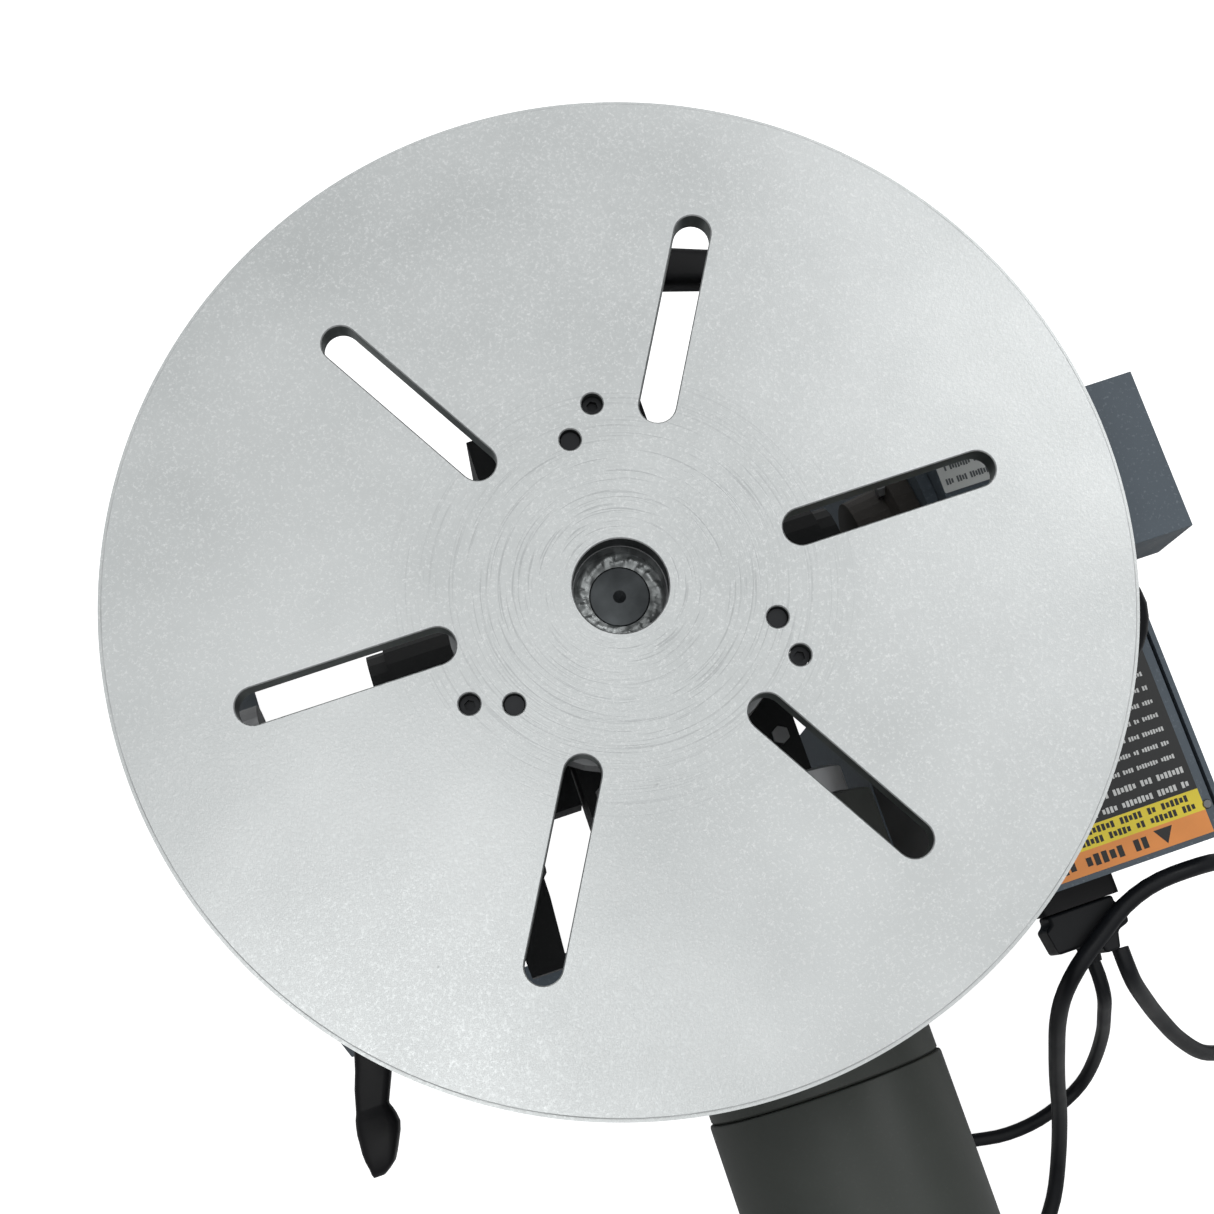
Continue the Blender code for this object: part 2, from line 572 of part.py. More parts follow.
def make_motor(build, tilt):
    centre = (MOTOR_X, DRIVE_HEIGHT)
    worm_hole = rod(9 * MM, ADAPTER_Y - MM, GEARHEAD_Y + 8 * MM, 20, "Y", (WORM_X, DRIVE_HEIGHT))
    adapter = build.add("adapter_flange", rod(ADAPTER_RADIUS, ADAPTER_Y, ADAPTER_Y + ADAPTER_THICKNESS, 32, "Y",
                                              centre, 1 * MM), "aluminium", tilt)
    build.cut(adapter, worm_hole.copy())
    inner = GEARHEAD_RADIUS - 18 * MM
    rear = GEARHEAD_Y + GEARHEAD_LENGTH
    head = turned([(0, GEARHEAD_Y), (GEARHEAD_RADIUS - 2 * MM, GEARHEAD_Y), (GEARHEAD_RADIUS, GEARHEAD_Y + 2 * MM),
                   (GEARHEAD_RADIUS, rear - 4 * MM), (GEARHEAD_RADIUS - 4 * MM, rear), (inner, rear),
                   (inner, GEARHEAD_Y + 6 * MM), (0, GEARHEAD_Y + 6 * MM)], 32, "Y", centre)
    gearhead = build.add("gearhead_housing", head, "olive_grey_paint", tilt)
    build.cut(gearhead, worm_hole)

    shaft_hole = 5 * MM + CLEAR
    room = BELL_RADIUS - MOTOR_WALL
    bell_rear = BELL_Y + BELL_LENGTH
    bell = turned([(shaft_hole, BELL_Y), (BELL_RADIUS, BELL_Y), (BELL_RADIUS, bell_rear), (room, bell_rear),
                   (room, BELL_Y + 10 * MM), (shaft_hole, BELL_Y + 10 * MM)], 32, "Y", centre)
    build.add("motor_front_bell", bell, "olive_grey_paint", tilt)
    rear = MOTOR_Y + MOTOR_LENGTH
    bore = MOTOR_RADIUS - MOTOR_WALL
    tube = turned([(bore, MOTOR_Y), (MOTOR_RADIUS - MM, MOTOR_Y), (MOTOR_RADIUS, MOTOR_Y + MM),
                   (MOTOR_RADIUS, rear), (bore, rear)], 36, "Y", centre)
    build.add("motor_tube", tube, "olive_grey_paint", tilt)
    stator = ring(ROTOR_RADIUS + 2 * MM, bore - CLEAR, MOTOR_Y + 12 * MM, rear - 28 * MM, 28, "Y", centre)
    build.add("motor_stator", stator, "copper", tilt)
    cap_end = END_CAP_Y + END_CAP_LENGTH
    cap = turned([(0, END_CAP_Y + 8 * MM), (shaft_hole, END_CAP_Y + 8 * MM), (shaft_hole, END_CAP_Y),
                  (BELL_RADIUS, END_CAP_Y), (BELL_RADIUS, cap_end - 3 * MM), (BELL_RADIUS - 3 * MM, cap_end),
                  (0, cap_end)], 32, "Y", centre)
    build.add("motor_end_cap", cap, "olive_grey_paint", tilt)


# ---- tilting frame ----

def make_trunnions(build, tilt):
    axis = (0.0, TILT_AXIS)
    shaft_bore = TILT_SHAFT_RADIUS + CLEAR
    sides = (("right", CASE_RIGHT, 1, 105 * MM), ("left", WORM_BULGE, -1, 104 * MM))
    for side, face, sign, end in sides:
        near = face + CLEAR
        low, high = sorted((sign * near, sign * (near + 8 * MM)))
        flange = extrude_outline(rectangle(-45 * MM, CASE_BOTTOM + 4 * MM, 45 * MM, CASE_TOP - 2 * MM), [],
                                 low, high, "X")
        arm = build.add(f"trunnion_{side}", flange, "black_paint", tilt)
        profile = [(0, sign * (near + 2 * MM)), (29 * MM, sign * (near + 2 * MM)), (29 * MM, sign * (end - 8 * MM)),
                   (25 * MM, sign * (end - 8 * MM)), (25 * MM, sign * end), (0, sign * end)]
        build.join(arm, turned(profile, 24, "X", axis))
        build.cut(arm, rod(shaft_bore, min(sign * (near + 16 * MM), sign * (end + MM)),
                           max(sign * (near + 16 * MM), sign * (end + MM)), 24, "X", axis))
        if side == "right":
            stop = [(near + MM, 36 * MM), (near + MM, 64 * MM)] + [(u * MM, v * MM) for u, v in STOP_ARM]
            build.join(arm, extrude_outline(stop, [], STOP_ARM_LOW, STOP_ARM_HIGH))
    right_start = CASE_RIGHT + 20 * MM
    right_end = RIGHT_PLATE + PLATE_THICKNESS + 22 * MM
    build.add("tilt_shaft_right", rod(TILT_SHAFT_RADIUS, right_start, right_end, 24, "X", axis, MM),
              "dark_steel", tilt)
    left_start = WORM_BULGE + 20 * MM
    build.add("tilt_shaft_left", rod(TILT_SHAFT_RADIUS, -LEFT_PLATE + MM, -left_start, 24, "X", axis, MM),
              "dark_steel", tilt)

    face = RIGHT_PLATE - QUADRANT_GAP
    width = LOCK_STUD_RADIUS + 11 * MM
    first, last = LOCK_ANGLE - TILT_RANGE - 16, LOCK_ANGLE + 16
    outline = arc(QUADRANT_RADIUS + width, first, last, 14) + [polar(20 * MM, last + 50), polar(20 * MM, first - 50)]
    slot_half = LOCK_STUD_RADIUS + 0.5 * MM
    slot = arc(QUADRANT_RADIUS + slot_half, LOCK_ANGLE - TILT_RANGE, LOCK_ANGLE, 12)
    slot += arc(slot_half, LOCK_ANGLE, LOCK_ANGLE + 180, 6, *polar(QUADRANT_RADIUS, LOCK_ANGLE))[1:-1]
    slot += arc(QUADRANT_RADIUS - slot_half, LOCK_ANGLE, LOCK_ANGLE - TILT_RANGE, 12)
    slot += arc(slot_half, LOCK_ANGLE - TILT_RANGE + 180, LOCK_ANGLE - TILT_RANGE + 360, 6,
                *polar(QUADRANT_RADIUS, LOCK_ANGLE - TILT_RANGE))[1:-1]
    raise_axis = [(u, v + TILT_AXIS) for u, v in outline]
    slot = [(u, v + TILT_AXIS) for u, v in slot]
    quadrant = build.add("tilt_quadrant", extrude_outline(raise_axis, [slot], face - QUADRANT_THICKNESS, face, "X"),
                         "dark_steel", tilt)
    build.join(quadrant, rod(20 * MM, face - QUADRANT_THICKNESS - 13 * MM, face - MM, 28, "X", axis))
    build.cut(quadrant, rod(shaft_bore, face - 30 * MM, face + 5 * MM, 24, "X", axis))


def make_hand_bar(build, tilt):
    """The bent bar at the front by which the table is tipped, and its grip."""
    height = 225 * MM
    route = [(-4, -100, 225), (-4, -112, 225), (-4, -126, 225), (-4, -140, 225), (-6, -152, 225), (-12, -164, 225),
             (-22, -171, 225), (-34, -172.5, 225), (-50, -167, 225)]
    route = [Vector(p) * MM for p in route]
    build.cord("hand_bar", smooth_route(route, 9 * MM), 6 * MM, "black_paint", tilt, 3)
    start = Vector((-50.3, -166.9, 225)) * MM
    along = Vector((-0.944, 0.33, 0))
    across = Vector((0.33, 0.944, 0))
    shape = bmesh.new()
    # distance along the grip, half width, half height
    stations = ((0, 8.0, 7.5), (5, 9.8, 8.5), (38, 8.9, 8.0), (72, 8.1, 7.2), (80, 5.8, 5.2), (84, 2.5, 2.5))
    rows = []
    for distance, half, thick in stations:
        centre = start + along * distance * MM
        rows.append([shape.verts.new(centre + across * u * MM + Vector((0, 0, v * MM)))
                     for u, v in rounded_rectangle(-half, -thick, half, thick, min(half, thick) * 0.6, 2)])
    for row, after in zip(rows, rows[1:]):
        for i in range(len(row)):
            j = (i + 1) % len(row)
            shape.faces.new((row[i], row[j], after[j], after[i]))
    shape.faces.new(rows[0])
    shape.faces.new(rows[-1])
    bmesh.ops.recalc_face_normals(shape, faces=shape.faces[:])
    build.add("hand_grip", shape, "black_plastic", tilt)


def make_lock(build, lever, root):
    """The tilt lock: a stud through the quadrant's slot, turned by a moulded lever."""
    y, z = polar(QUADRANT_RADIUS, LOCK_ANGLE)
    at = (y, z + TILT_AXIS)
    inner_face = RIGHT_PLATE - QUADRANT_GAP - QUADRANT_THICKNESS
    spacer_low = RIGHT_PLATE - QUADRANT_GAP + CLEAR
    build.add("clamp_spacer", ring(LOCK_STUD_RADIUS + CLEAR, 9 * MM, spacer_low, RIGHT_PLATE - CLEAR, 20, "X", at),
              "dark_steel", root)
    stud_start = inner_face - 10 * MM
    build.add("lock_stud", rod(LOCK_STUD_RADIUS, stud_start, RIGHT_PLATE + 4 * MM, 16, "X", at), "dark_steel", lever)
    hub_high = inner_face - CLEAR
    hub_low = hub_high - 16 * MM
    hub = rod(10 * MM, hub_low, hub_high, 24, "X", at, MM)
    body = build.add("lock_lever", hub, "black_plastic", lever)
    build.join(body, lever_blade(at, (hub_low + hub_high) / 2))
    build.cut(body, rod(LOCK_STUD_RADIUS + CLEAR, hub_low + 6 * MM, hub_high + MM, 16, "X", at))


def lever_blade(at, x):
    """The lever's tapering blade, thickest at its rounded tip, lofted along +Y."""
    shape = bmesh.new()
    # distance from the stud, shift in X, half width in X, drop, half height in Z
    stations = ((2, 0, 6.5, 0, 6), (20, -3.5, 7.2, 1, 6.5), (40, -8.6, 7.8, 1, 7), (58, -11.2, 8.0, 2, 6.5),
                (72, -10.4, 7.9, 2, 6.5), (80, -8.2, 7.8, 2, 6.3), (87, -5.6, 7.6, 2, 6), (96, -2.7, 6.8, 2, 6),
                (99, -2.6, 7.8, 2, 7.5), (104.5, -2.7, 8.8, 1.5, 8.4), (112, -1.2, 7.4, 1, 8.8),
                (118.5, 0.0, 5.2, 0.5, 7.5), (122.5, 3.2, 1.8, 0, 3.5))
    rows = []
    for distance, shift, half, drop, tall in stations:
        centre = Vector((x + shift * MM, at[0] + distance * MM, at[1] - drop * MM))
        outline = rounded_rectangle(-half, -tall, half, tall, min(half, tall) * 0.45, 2)
        rows.append([shape.verts.new(centre + Vector((u * MM, 0, v * MM))) for u, v in outline])
    for row, after in zip(rows, rows[1:]):
        for i in range(len(row)):
            j = (i + 1) % len(row)
            shape.faces.new((row[i], row[j], after[j], after[i]))
    shape.faces.new(rows[0])
    shape.faces.new(rows[-1])
    bmesh.ops.recalc_face_normals(shape, faces=shape.faces[:])
    return shape


# ---- base ----

def side_plate_outline(front, rear, top_radius, ear=()):
    """A side plate: wide at the floor, round about the tilt axis, set back to clear the tipped table."""
    top = arc(top_radius, 62 if ear else 12, 168, 12, 0.0, TILT_AXIS)
    shoulder = FLOOR_GAP + 26 * MM
    knee = (-(TABLE_BOTTOM - TILT_AXIS - 10 * MM), TILT_AXIS - 148 * MM)
    return [(-front, FLOOR_GAP), (rear, FLOOR_GAP), (rear, shoulder)] + list(ear) + top + [knee, (-front, shoulder)]


def make_base(build, root):
    axis = (0.0, TILT_AXIS)
    hole = circle(TILT_SHAFT_RADIUS + 2 * MM, 24, *axis)
    y, z = polar(QUADRANT_RADIUS, LOCK_ANGLE)
    stud_hole = circle(LOCK_STUD_RADIUS + CLEAR, 14, y, z + TILT_AXIS)
    ear = arc(17 * MM, -30, 80, 6, y, z + TILT_AXIS)
    outline = side_plate_outline(BASE_FRONT, RIGHT_PLATE_REAR, 37 * MM, ear)
    far = RIGHT_PLATE + PLATE_THICKNESS
    right = build.add("right_side_plate", extrude_outline(outline, [hole, stud_hole], RIGHT_PLATE, far, "X"),
                      "slate_paint", root)
    build.join(right, block((RIGHT_PLATE + MM, -BASE_FRONT, FLOOR_GAP),
                            (far + FOOT_FLANGE, 85 * MM, FLOOR_GAP + PLATE_THICKNESS)))

    near = -LEFT_PLATE
    outline = side_plate_outline(BASE_FRONT, LEFT_PLATE_REAR, 44 * MM)
    left = build.add("left_side_plate", extrude_outline(outline, [hole], near, near + PLATE_THICKNESS, "X"),
                     "slate_paint", root)
    build.join(left, block((near - 2 * FOOT_FLANGE, -BASE_FRONT, FLOOR_GAP),
                           (near + PLATE_THICKNESS - MM, BOX_FRONT - MM, FLOOR_GAP + PLATE_THICKNESS)))

    inner_left = near + PLATE_THICKNESS + CLEAR
    inner_right = RIGHT_PLATE - CLEAR
    high = FLOOR_GAP + CROSS_HEIGHT
    channels = (("front_cross_channel", -BASE_FRONT + FRONT_CROSS_INSET, 30 * MM, inner_left, inner_right),
                ("rear_cross_channel", RIGHT_PLATE_REAR - 15 * MM, 15 * MM, -BOX_RIGHT + CLEAR, inner_right))
    for name, start, depth, x0, x1 in channels:
        wall = CROSS_WALL
        profile = [(start, FLOOR_GAP), (start + wall, FLOOR_GAP), (start + wall, high - wall),
                   (start + depth - wall, high - wall), (start + depth - wall, FLOOR_GAP),
                   (start + depth, FLOOR_GAP), (start + depth, high), (start, high)]
        build.add(name, extrude_outline(profile, [], x0, x1, "X"), "slate_paint", root)

    bore = TILT_SHAFT_RADIUS + CLEAR
    face = far + CLEAR
    right_bearing = [(bore, face), (33 * MM, face), (33 * MM, face + 7 * MM), (24 * MM, face + 9 * MM),
                     (22 * MM, face + 18 * MM), (bore, face + 18 * MM)]
    build.add("flange_bearing_right", turned(right_bearing, 28, "X", axis), "cast_grey", root)
    face = near + PLATE_THICKNESS + CLEAR
    left_bearing = [(bore, face), (33 * MM, face), (33 * MM, face + 9 * MM), (26 * MM, face + 11 * MM),
                    (24 * MM, face + 26 * MM), (bore, face + 26 * MM)]
    build.add("flange_bearing_left", turned(left_bearing, 28, "X", axis), "cast_grey", root)

    spots = {"front_right": (far + 16 * MM, -130 * MM), "rear_right": (far + 16 * MM, 65 * MM),
             "front_left": (near - 44 * MM, -130 * MM), "rear_left": (-BOX_LEFT + 22 * MM, BOX_REAR - 22 * MM)}
    for corner, spot in spots.items():
        foot = turned([(0, 0), (12 * MM, 0), (14 * MM, FLOOR_GAP - CLEAR), (0, FLOOR_GAP - CLEAR)], 20, centre=spot)
        build.add(f"foot_{corner}", foot, "black_rubber", root)


# ---- power box ----

def make_power_box(build, root):
    wall = BOX_WALL
    left, right = -BOX_LEFT, -BOX_RIGHT
    box = build.add("power_box", block((left, BOX_FRONT, FLOOR_GAP), (right, BOX_REAR, BOX_TOP + BOX_LIP)),
                    "slate_paint", root, smooth=False)
    build.cut(box, block((left + wall, BOX_FRONT + wall, FLOOR_GAP + wall),
                         (right - wall, BOX_REAR - wall, BOX_TOP + 2 * BOX_LIP)))
    build.cut(box, block((left + wall - 0.01 * MM, BOX_FRONT - MM, BOX_TOP),
                         (right + MM, BOX_REAR + MM, BOX_TOP + 2 * BOX_LIP)))
    lid_low = BOX_TOP + CLEAR
    gland = (-180 * MM, 88 * MM)
    lid = extrude_outline(rectangle(left + wall + LID_GROOVE, BOX_FRONT, right, BOX_REAR),
                          [circle(CONTROL_CABLE_RADIUS + 2.2 * MM, 20, *gland)], lid_low, lid_low + LID_THICKNESS)
    build.add("power_box_lid", lid, "slate_paint", root, smooth=False)
    build.add("power_supply", block((-222 * MM, 58 * MM, FLOOR_GAP + wall + CLEAR), (-112 * MM, 146 * MM, 96 * MM)),
              "aluminium", root, smooth=False)


def make_control_housing(build, root):
    wall = HOUSING_WALL
    right = -LEFT_PLATE - CLEAR
    low, high = HOUSING_TOP - HOUSING_HEIGHT, HOUSING_TOP
    shell = build.add("control_housing", block((-HOUSING_LEFT, HOUSING_FRONT, low), (right, HOUSING_REAR, high)),
                      "slate_paint", root, smooth=False)
    build.cut(shell, block((-HOUSING_LEFT + wall, HOUSING_FRONT + wall, low - MM),
                           (right - wall, HOUSING_REAR - wall, high - wall)))
    arch = rod(ARCH_RADIUS, HOUSING_REAR - 2 * wall, HOUSING_REAR + MM, 28, "Y", (-211 * MM, low - 2 * MM))
    build.cut(shell, arch)
    middle = (low + high) / 2
    knob_x, power_x, way_x = -165 * MM, -216 * MM, -192 * MM
    front = (HOUSING_FRONT - MM, HOUSING_FRONT + wall + MM)
    half = (5.5 * MM, 9 * MM)
    holes = [extrude_outline(rectangle(x - half[0] - CLEAR, middle - half[1] - CLEAR, x + half[0] + CLEAR,
                                       middle + half[1] + CLEAR), [], *front, "Y") for x in (power_x, way_x)]
    holes.append(rod(3.5 * MM, *front, 16, "Y", (knob_x, middle)))
    build.cut(shell, merge(holes))

    face = HOUSING_FRONT
    knob_pivot = build.pivot("knob_axis", (knob_x, face, middle))
    knob = turned([(0, face - 17 * MM), (8.5 * MM, face - 17 * MM), (9.5 * MM, face - 16 * MM),
                   (11 * MM, face - 1.5 * MM), (3 * MM, face - 1.5 * MM), (3 * MM, face + 6 * MM),
                   (0, face + 6 * MM)], 32, "Y", (knob_x, middle))
    speed = build.add("speed_knob", knob, "black_plastic", knob_pivot)
    pointer = block((knob_x - 0.8 * MM, face - 17.8 * MM, middle), (knob_x + 0.8 * MM, face - 16 * MM, middle + 8 * MM))
    build.join(speed, pointer)
    for name, x in (("power_rocker", power_x), ("direction_rocker", way_x)):
        hinge = build.pivot(f"{name}_axis", (x, face + 2 * MM, middle))
        outline = [(-2.6, -8.6), (-2.0, 0), (-4.2, 8.6), (5, 6.5), (7, 0), (5, -6.5)]
        if name == "direction_rocker":
            outline = [(-3.4, -8.6), (-2.2, 0), (-3.4, 8.6), (5, 6.5), (7, 0), (5, -6.5)]
        outline = [(face + u * MM, middle + v * MM) for u, v in outline]
        build.add(name, extrude_outline(outline, [], x - half[0] + CLEAR, x + half[0] - CLEAR, "X"),
                  "black_plastic", hinge)


def make_connectors(build, root):
    """The mains inlet and the foot switch socket on the box's back, with their plugs."""
    back = BOX_REAR + CLEAR
    inlet = extrude_outline(rounded_rectangle(-186 * MM, 148 * MM, -148 * MM, 174 * MM, 3 * MM, 3), [],
                            back, back + 9 * MM, "Y")
    build.add("mains_inlet", inlet, "black_plastic", root)
    start = back + 9 * MM + CLEAR
    plan = [(-183, 0), (-183, 4), (-186, 4), (-186, 14), (-180, 16), (-178, 24), (-171, 24), (-168, 15),
            (-162, 18), (-150, 18), (-148, 6), (-151, 4), (-151, 0)]
    plug = extrude_outline([(x * MM, start + y * MM) for x, y in plan], [], 151 * MM, 171 * MM)
    build.add("appliance_plug", plug, "black_rubber", root)
    plug_at = (PEDAL_PLUG_X, PEDAL_PLUG_HEIGHT)
    end = back + PEDAL_PLUG_LENGTH
    pedal_plug = turned([(0, back), (11 * MM, back), (11 * MM, back + 7 * MM), (9 * MM, back + 8 * MM),
                         (9 * MM, back + 24 * MM), (6 * MM, back + 27 * MM), (4.4 * MM, end), (0, end)],
                        20, "Y", plug_at)
    build.add("pedal_plug", pedal_plug, "black_rubber", root)


# ---- leads ----

def scaled(points):
    return [Vector(p) * MM for p in points]


def make_control_cable(build, root):
    """The short cable from the housing's arch down through the box's lid."""
    route = scaled([(-211, 20, 266), (-212, 30, 259), (-214, 41, 250.5), (-218.5, 50, 245), (-221.5, 60, 239),
                    (-219.5, 70, 232), (-213, 78.5, 225.5), (-202, 84.5, 218.5), (-189, 87.5, 213),
                    (-181.5, 88, 206), (-180, 88, 197), (-180, 88, 186)])
    build.cord("control_cable", smooth_route(route, 11 * MM), CONTROL_CABLE_RADIUS, "black_rubber", root, 2)


def make_mains_lead(build, root):
    """Out of the appliance plug, down in a loop, back over the plug and away to its coil under the motor."""
    route = scaled([(-180, 203, 161), (-180, 208, 161), (-183, 216, 151), (-190, 226, 132), (-200, 238, 106),
                    (-214, 254, 76), (-232, 268, 46), (-252, 272, 24), (-270, 261, 15), (-280, 241, 24),
                    (-281, 220, 56), (-273, 201, 98), (-257, 186, 140), (-238, 177, 168), (-218, 175, 178.4),
                    (-200, 176, 179.4), (-184, 181, 179.4), (-169, 190, 179), (-156, 199, 176), (-147, 210, 165),
                    (-144, 222, 146), (-145, 236, 118), (-147, 252, 86), (-149, 272, 52), (-147, 294, 24),
                    (-140, 315, 9), (-128, 332, 4.4), (-116, 347, 4.4)])
    build.cord("mains_lead", smooth_route(route, 20 * MM, 4 * MM), MAINS_LEAD_RADIUS, "black_rubber", root, 2)
    coil_top = CLEAR + 2 * MAINS_LEAD_RADIUS
    coil = ring(MAINS_COIL_INNER, MAINS_COIL_OUTER, CLEAR, coil_top, 28, centre=MAINS_COIL_AT)
    build.add("mains_coil", coil, "black_rubber", root)
    x, y = MAINS_COIL_AT
    y += MAINS_COIL_INNER + MAINS_LEAD_RADIUS
    outline = rounded_rectangle(x + 16 * MM, y - 13 * MM, x + 62 * MM, y + 13 * MM, 6 * MM, 2)
    plug = extrude_outline(outline, [], coil_top + CLEAR, coil_top + CLEAR + 22 * MM)
    build.add("mains_plug", plug, "black_rubber", root)


def make_pedal_lead(build, root):
    """Out of the foot switch's plug, down to the floor and under the motor to its coil."""
    straight = 4 * MM
    start = BOX_REAR + 2 * CLEAR + PEDAL_PLUG_LENGTH + straight
    route = [Vector((PEDAL_PLUG_X, start, PEDAL_PLUG_HEIGHT))] + scaled([
        (-176, 212, 121), (-177, 221, 112), (-180, 230, 88), (-183, 241, 58), (-182, 254, 28), (-176, 265, 9),
        (-164, 272, 3.9), (-146, 277, 3.9), (-127, 278, 3.9), (-108, 275, 3.9), (-94, 274.5, 3.9),
        (-82, 275.5, 3.9)])
    build.cord("pedal_lead", smooth_route(route, 18 * MM, straight), PEDAL_LEAD_RADIUS, "black_rubber", root, 2)
    coil_top = CLEAR + 2 * PEDAL_LEAD_RADIUS
    coil = ring(PEDAL_COIL_INNER, PEDAL_COIL_OUTER, CLEAR, coil_top, 28, centre=PEDAL_COIL_AT)
    build.add("pedal_coil", coil, "black_rubber", root)
    x, y = PEDAL_COIL_AT
    x += PEDAL_COIL_INNER + PEDAL_LEAD_RADIUS
    radius = 8 * MM
    end = rod(radius, y - 44 * MM, y - 14 * MM, 20, "Y", (x, coil_top + CLEAR + radius), MM)
    build.add("pedal_connector", end, "black_rubber", root)


def main():
    clear_scene()
    build = Builder()
    root = build.pivot("base", (0, 0, 0))
    tilt = build.pivot("tilt_axis", (0, 0, TILT_AXIS))
    spin = build.pivot("table_axis", (0, 0, TABLE_TOP), tilt)
    worm = build.pivot("worm_axis", (WORM_X, 0, DRIVE_HEIGHT), tilt)
    rotor = build.pivot("rotor_axis", (MOTOR_X, 0, DRIVE_HEIGHT), tilt)
    y, z = polar(QUADRANT_RADIUS, LOCK_ANGLE)
    lever = build.pivot("lock_axis", (RIGHT_PLATE, y, z + TILT_AXIS))
    make_table(build, spin)
    make_drive(build, worm, rotor)
    make_gearbox(build, tilt)
    make_motor(build, tilt)
    make_trunnions(build, tilt)
    make_hand_bar(build, tilt)
    make_lock(build, lever, root)
    make_base(build, root)
    make_power_box(build, root)
    make_control_housing(build, root)
    make_connectors(build, root)
    make_control_cable(build, root)
    make_mains_lead(build, root)
    make_pedal_lead(build, root)


main()
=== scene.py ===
"""Looks for the powered tilting positioner: camera, light, leads, materials and detailed pieces."""
import json
import math

import bmesh
import bpy
from mathutils import Matrix, Vector


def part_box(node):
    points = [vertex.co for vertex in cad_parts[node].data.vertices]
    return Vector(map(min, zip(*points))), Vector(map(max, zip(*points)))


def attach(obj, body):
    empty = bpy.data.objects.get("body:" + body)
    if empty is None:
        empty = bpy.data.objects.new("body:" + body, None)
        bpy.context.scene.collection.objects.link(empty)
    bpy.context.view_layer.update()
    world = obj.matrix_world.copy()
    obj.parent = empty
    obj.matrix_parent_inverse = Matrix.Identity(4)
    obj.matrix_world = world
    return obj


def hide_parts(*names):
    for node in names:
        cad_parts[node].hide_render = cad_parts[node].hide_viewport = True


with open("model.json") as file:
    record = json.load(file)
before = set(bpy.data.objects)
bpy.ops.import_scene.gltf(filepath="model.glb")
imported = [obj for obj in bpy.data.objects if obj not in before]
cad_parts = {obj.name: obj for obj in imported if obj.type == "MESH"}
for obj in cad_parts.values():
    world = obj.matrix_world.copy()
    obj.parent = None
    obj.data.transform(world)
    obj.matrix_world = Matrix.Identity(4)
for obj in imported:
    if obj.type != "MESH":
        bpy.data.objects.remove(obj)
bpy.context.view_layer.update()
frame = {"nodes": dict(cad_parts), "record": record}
nodes = frame["nodes"]
MM = 0.001

# ---- camera and light ----

CAMERA_PLACE = Vector((69.15, 149.43, 1106.8)) * MM
CAMERA_TURN = (11.521, -0.923, 161.294)     # degrees about X, Y and Z
CAMERA_LENS = 60.26
SKY = [(0.0, (0.16, 0.16, 0.16)), (0.45, (0.33, 0.33, 0.34)),
       (0.8, (0.78, 0.79, 0.79)), (1.0, (0.84, 0.85, 0.85))]       # height up the sky and colour
SKY_STRENGTH = 0.95
LAMPS = (("key", (0.28, 0.20, 1.9), (0.1, 0.08, 0.3), 0.7, 1.7),
         ("fill", (-1.3, -0.5, 1.7), (0, 0, 0.3), 1.0, 6),
         ("front", (0.3, -1.8, 1.2), (0, 0, 0.3), 1.2, 5))         # name, place, target, size, watts
FLOOR_SIZE = 30
FLOOR_DROP = 0.0002
FLOOR_GLOW = 0.92


def add_camera():
    data = bpy.data.cameras.new("camera")
    data.lens = CAMERA_LENS
    data.sensor_width = 36
    data.clip_start = 0.02
    camera = bpy.data.objects.new("camera", data)
    camera.location = CAMERA_PLACE
    camera.rotation_euler = [math.radians(a) for a in CAMERA_TURN]
    bpy.context.scene.collection.objects.link(camera)
    bpy.context.scene.camera = camera


def add_lamp(name, place, target, size, watts):
    data = bpy.data.lights.new(name, "AREA")
    data.shape = "DISK"
    data.size = size
    data.energy = watts
    lamp = bpy.data.objects.new(name, data)
    lamp.location = place
    lamp.rotation_euler = (Vector(target) - Vector(place)).to_track_quat("-Z", "Y").to_euler()
    bpy.context.scene.collection.objects.link(lamp)


def add_studio():
    world = bpy.data.worlds.new("studio")
    world.use_nodes = True
    tree = world.node_tree
    apart = node(tree, "ShaderNodeSeparateXYZ")
    tree.links.new(node(tree, "ShaderNodeTexCoord").outputs["Generated"], apart.inputs["Vector"])
    tree.links.new(ramp(tree, apart.outputs["Z"], SKY), tree.nodes["Background"].inputs["Color"])
    tree.nodes["Background"].inputs["Strength"].default_value = SKY_STRENGTH
    bpy.context.scene.world = world
    bpy.context.scene.view_settings.view_transform = "Standard"
    bpy.context.scene.view_settings.look = "None"
    for lamp in LAMPS:
        add_lamp(*lamp)
    bpy.ops.mesh.primitive_plane_add(size=FLOOR_SIZE, location=(0, 0, -FLOOR_DROP))
    floor = bpy.context.object
    floor.name = "studio_floor"
    material, shader, tree = new_material("floor", (0.62, 0.62, 0.62), 0.9, 0.0, 0.1)
    shader.inputs["Emission Color"].default_value = (1, 1, 1, 1)
    camera_ray = node(tree, "ShaderNodeLightPath").outputs["Is Camera Ray"]
    tree.links.new(sums(tree, "MULTIPLY", camera_ray, FLOOR_GLOW), shader.inputs["Emission Strength"])
    floor.data.materials.append(material)


# ---- materials ----

MARKS_FADE = (0.055, 0.100)     # the turning marks fade out between these radii
LABEL_COLOURS = {
    "label_black": (0.012, 0.013, 0.014),
    "label_white": (0.72, 0.73, 0.72),
    "label_yellow": (0.95, 0.76, 0.05),
    "label_orange": (0.95, 0.34, 0.08),
    "label_ink": (0.014, 0.013, 0.012),
    "plate_grey": (0.86, 0.88, 0.86),
    "label_grey": (0.16, 0.17, 0.18),
}


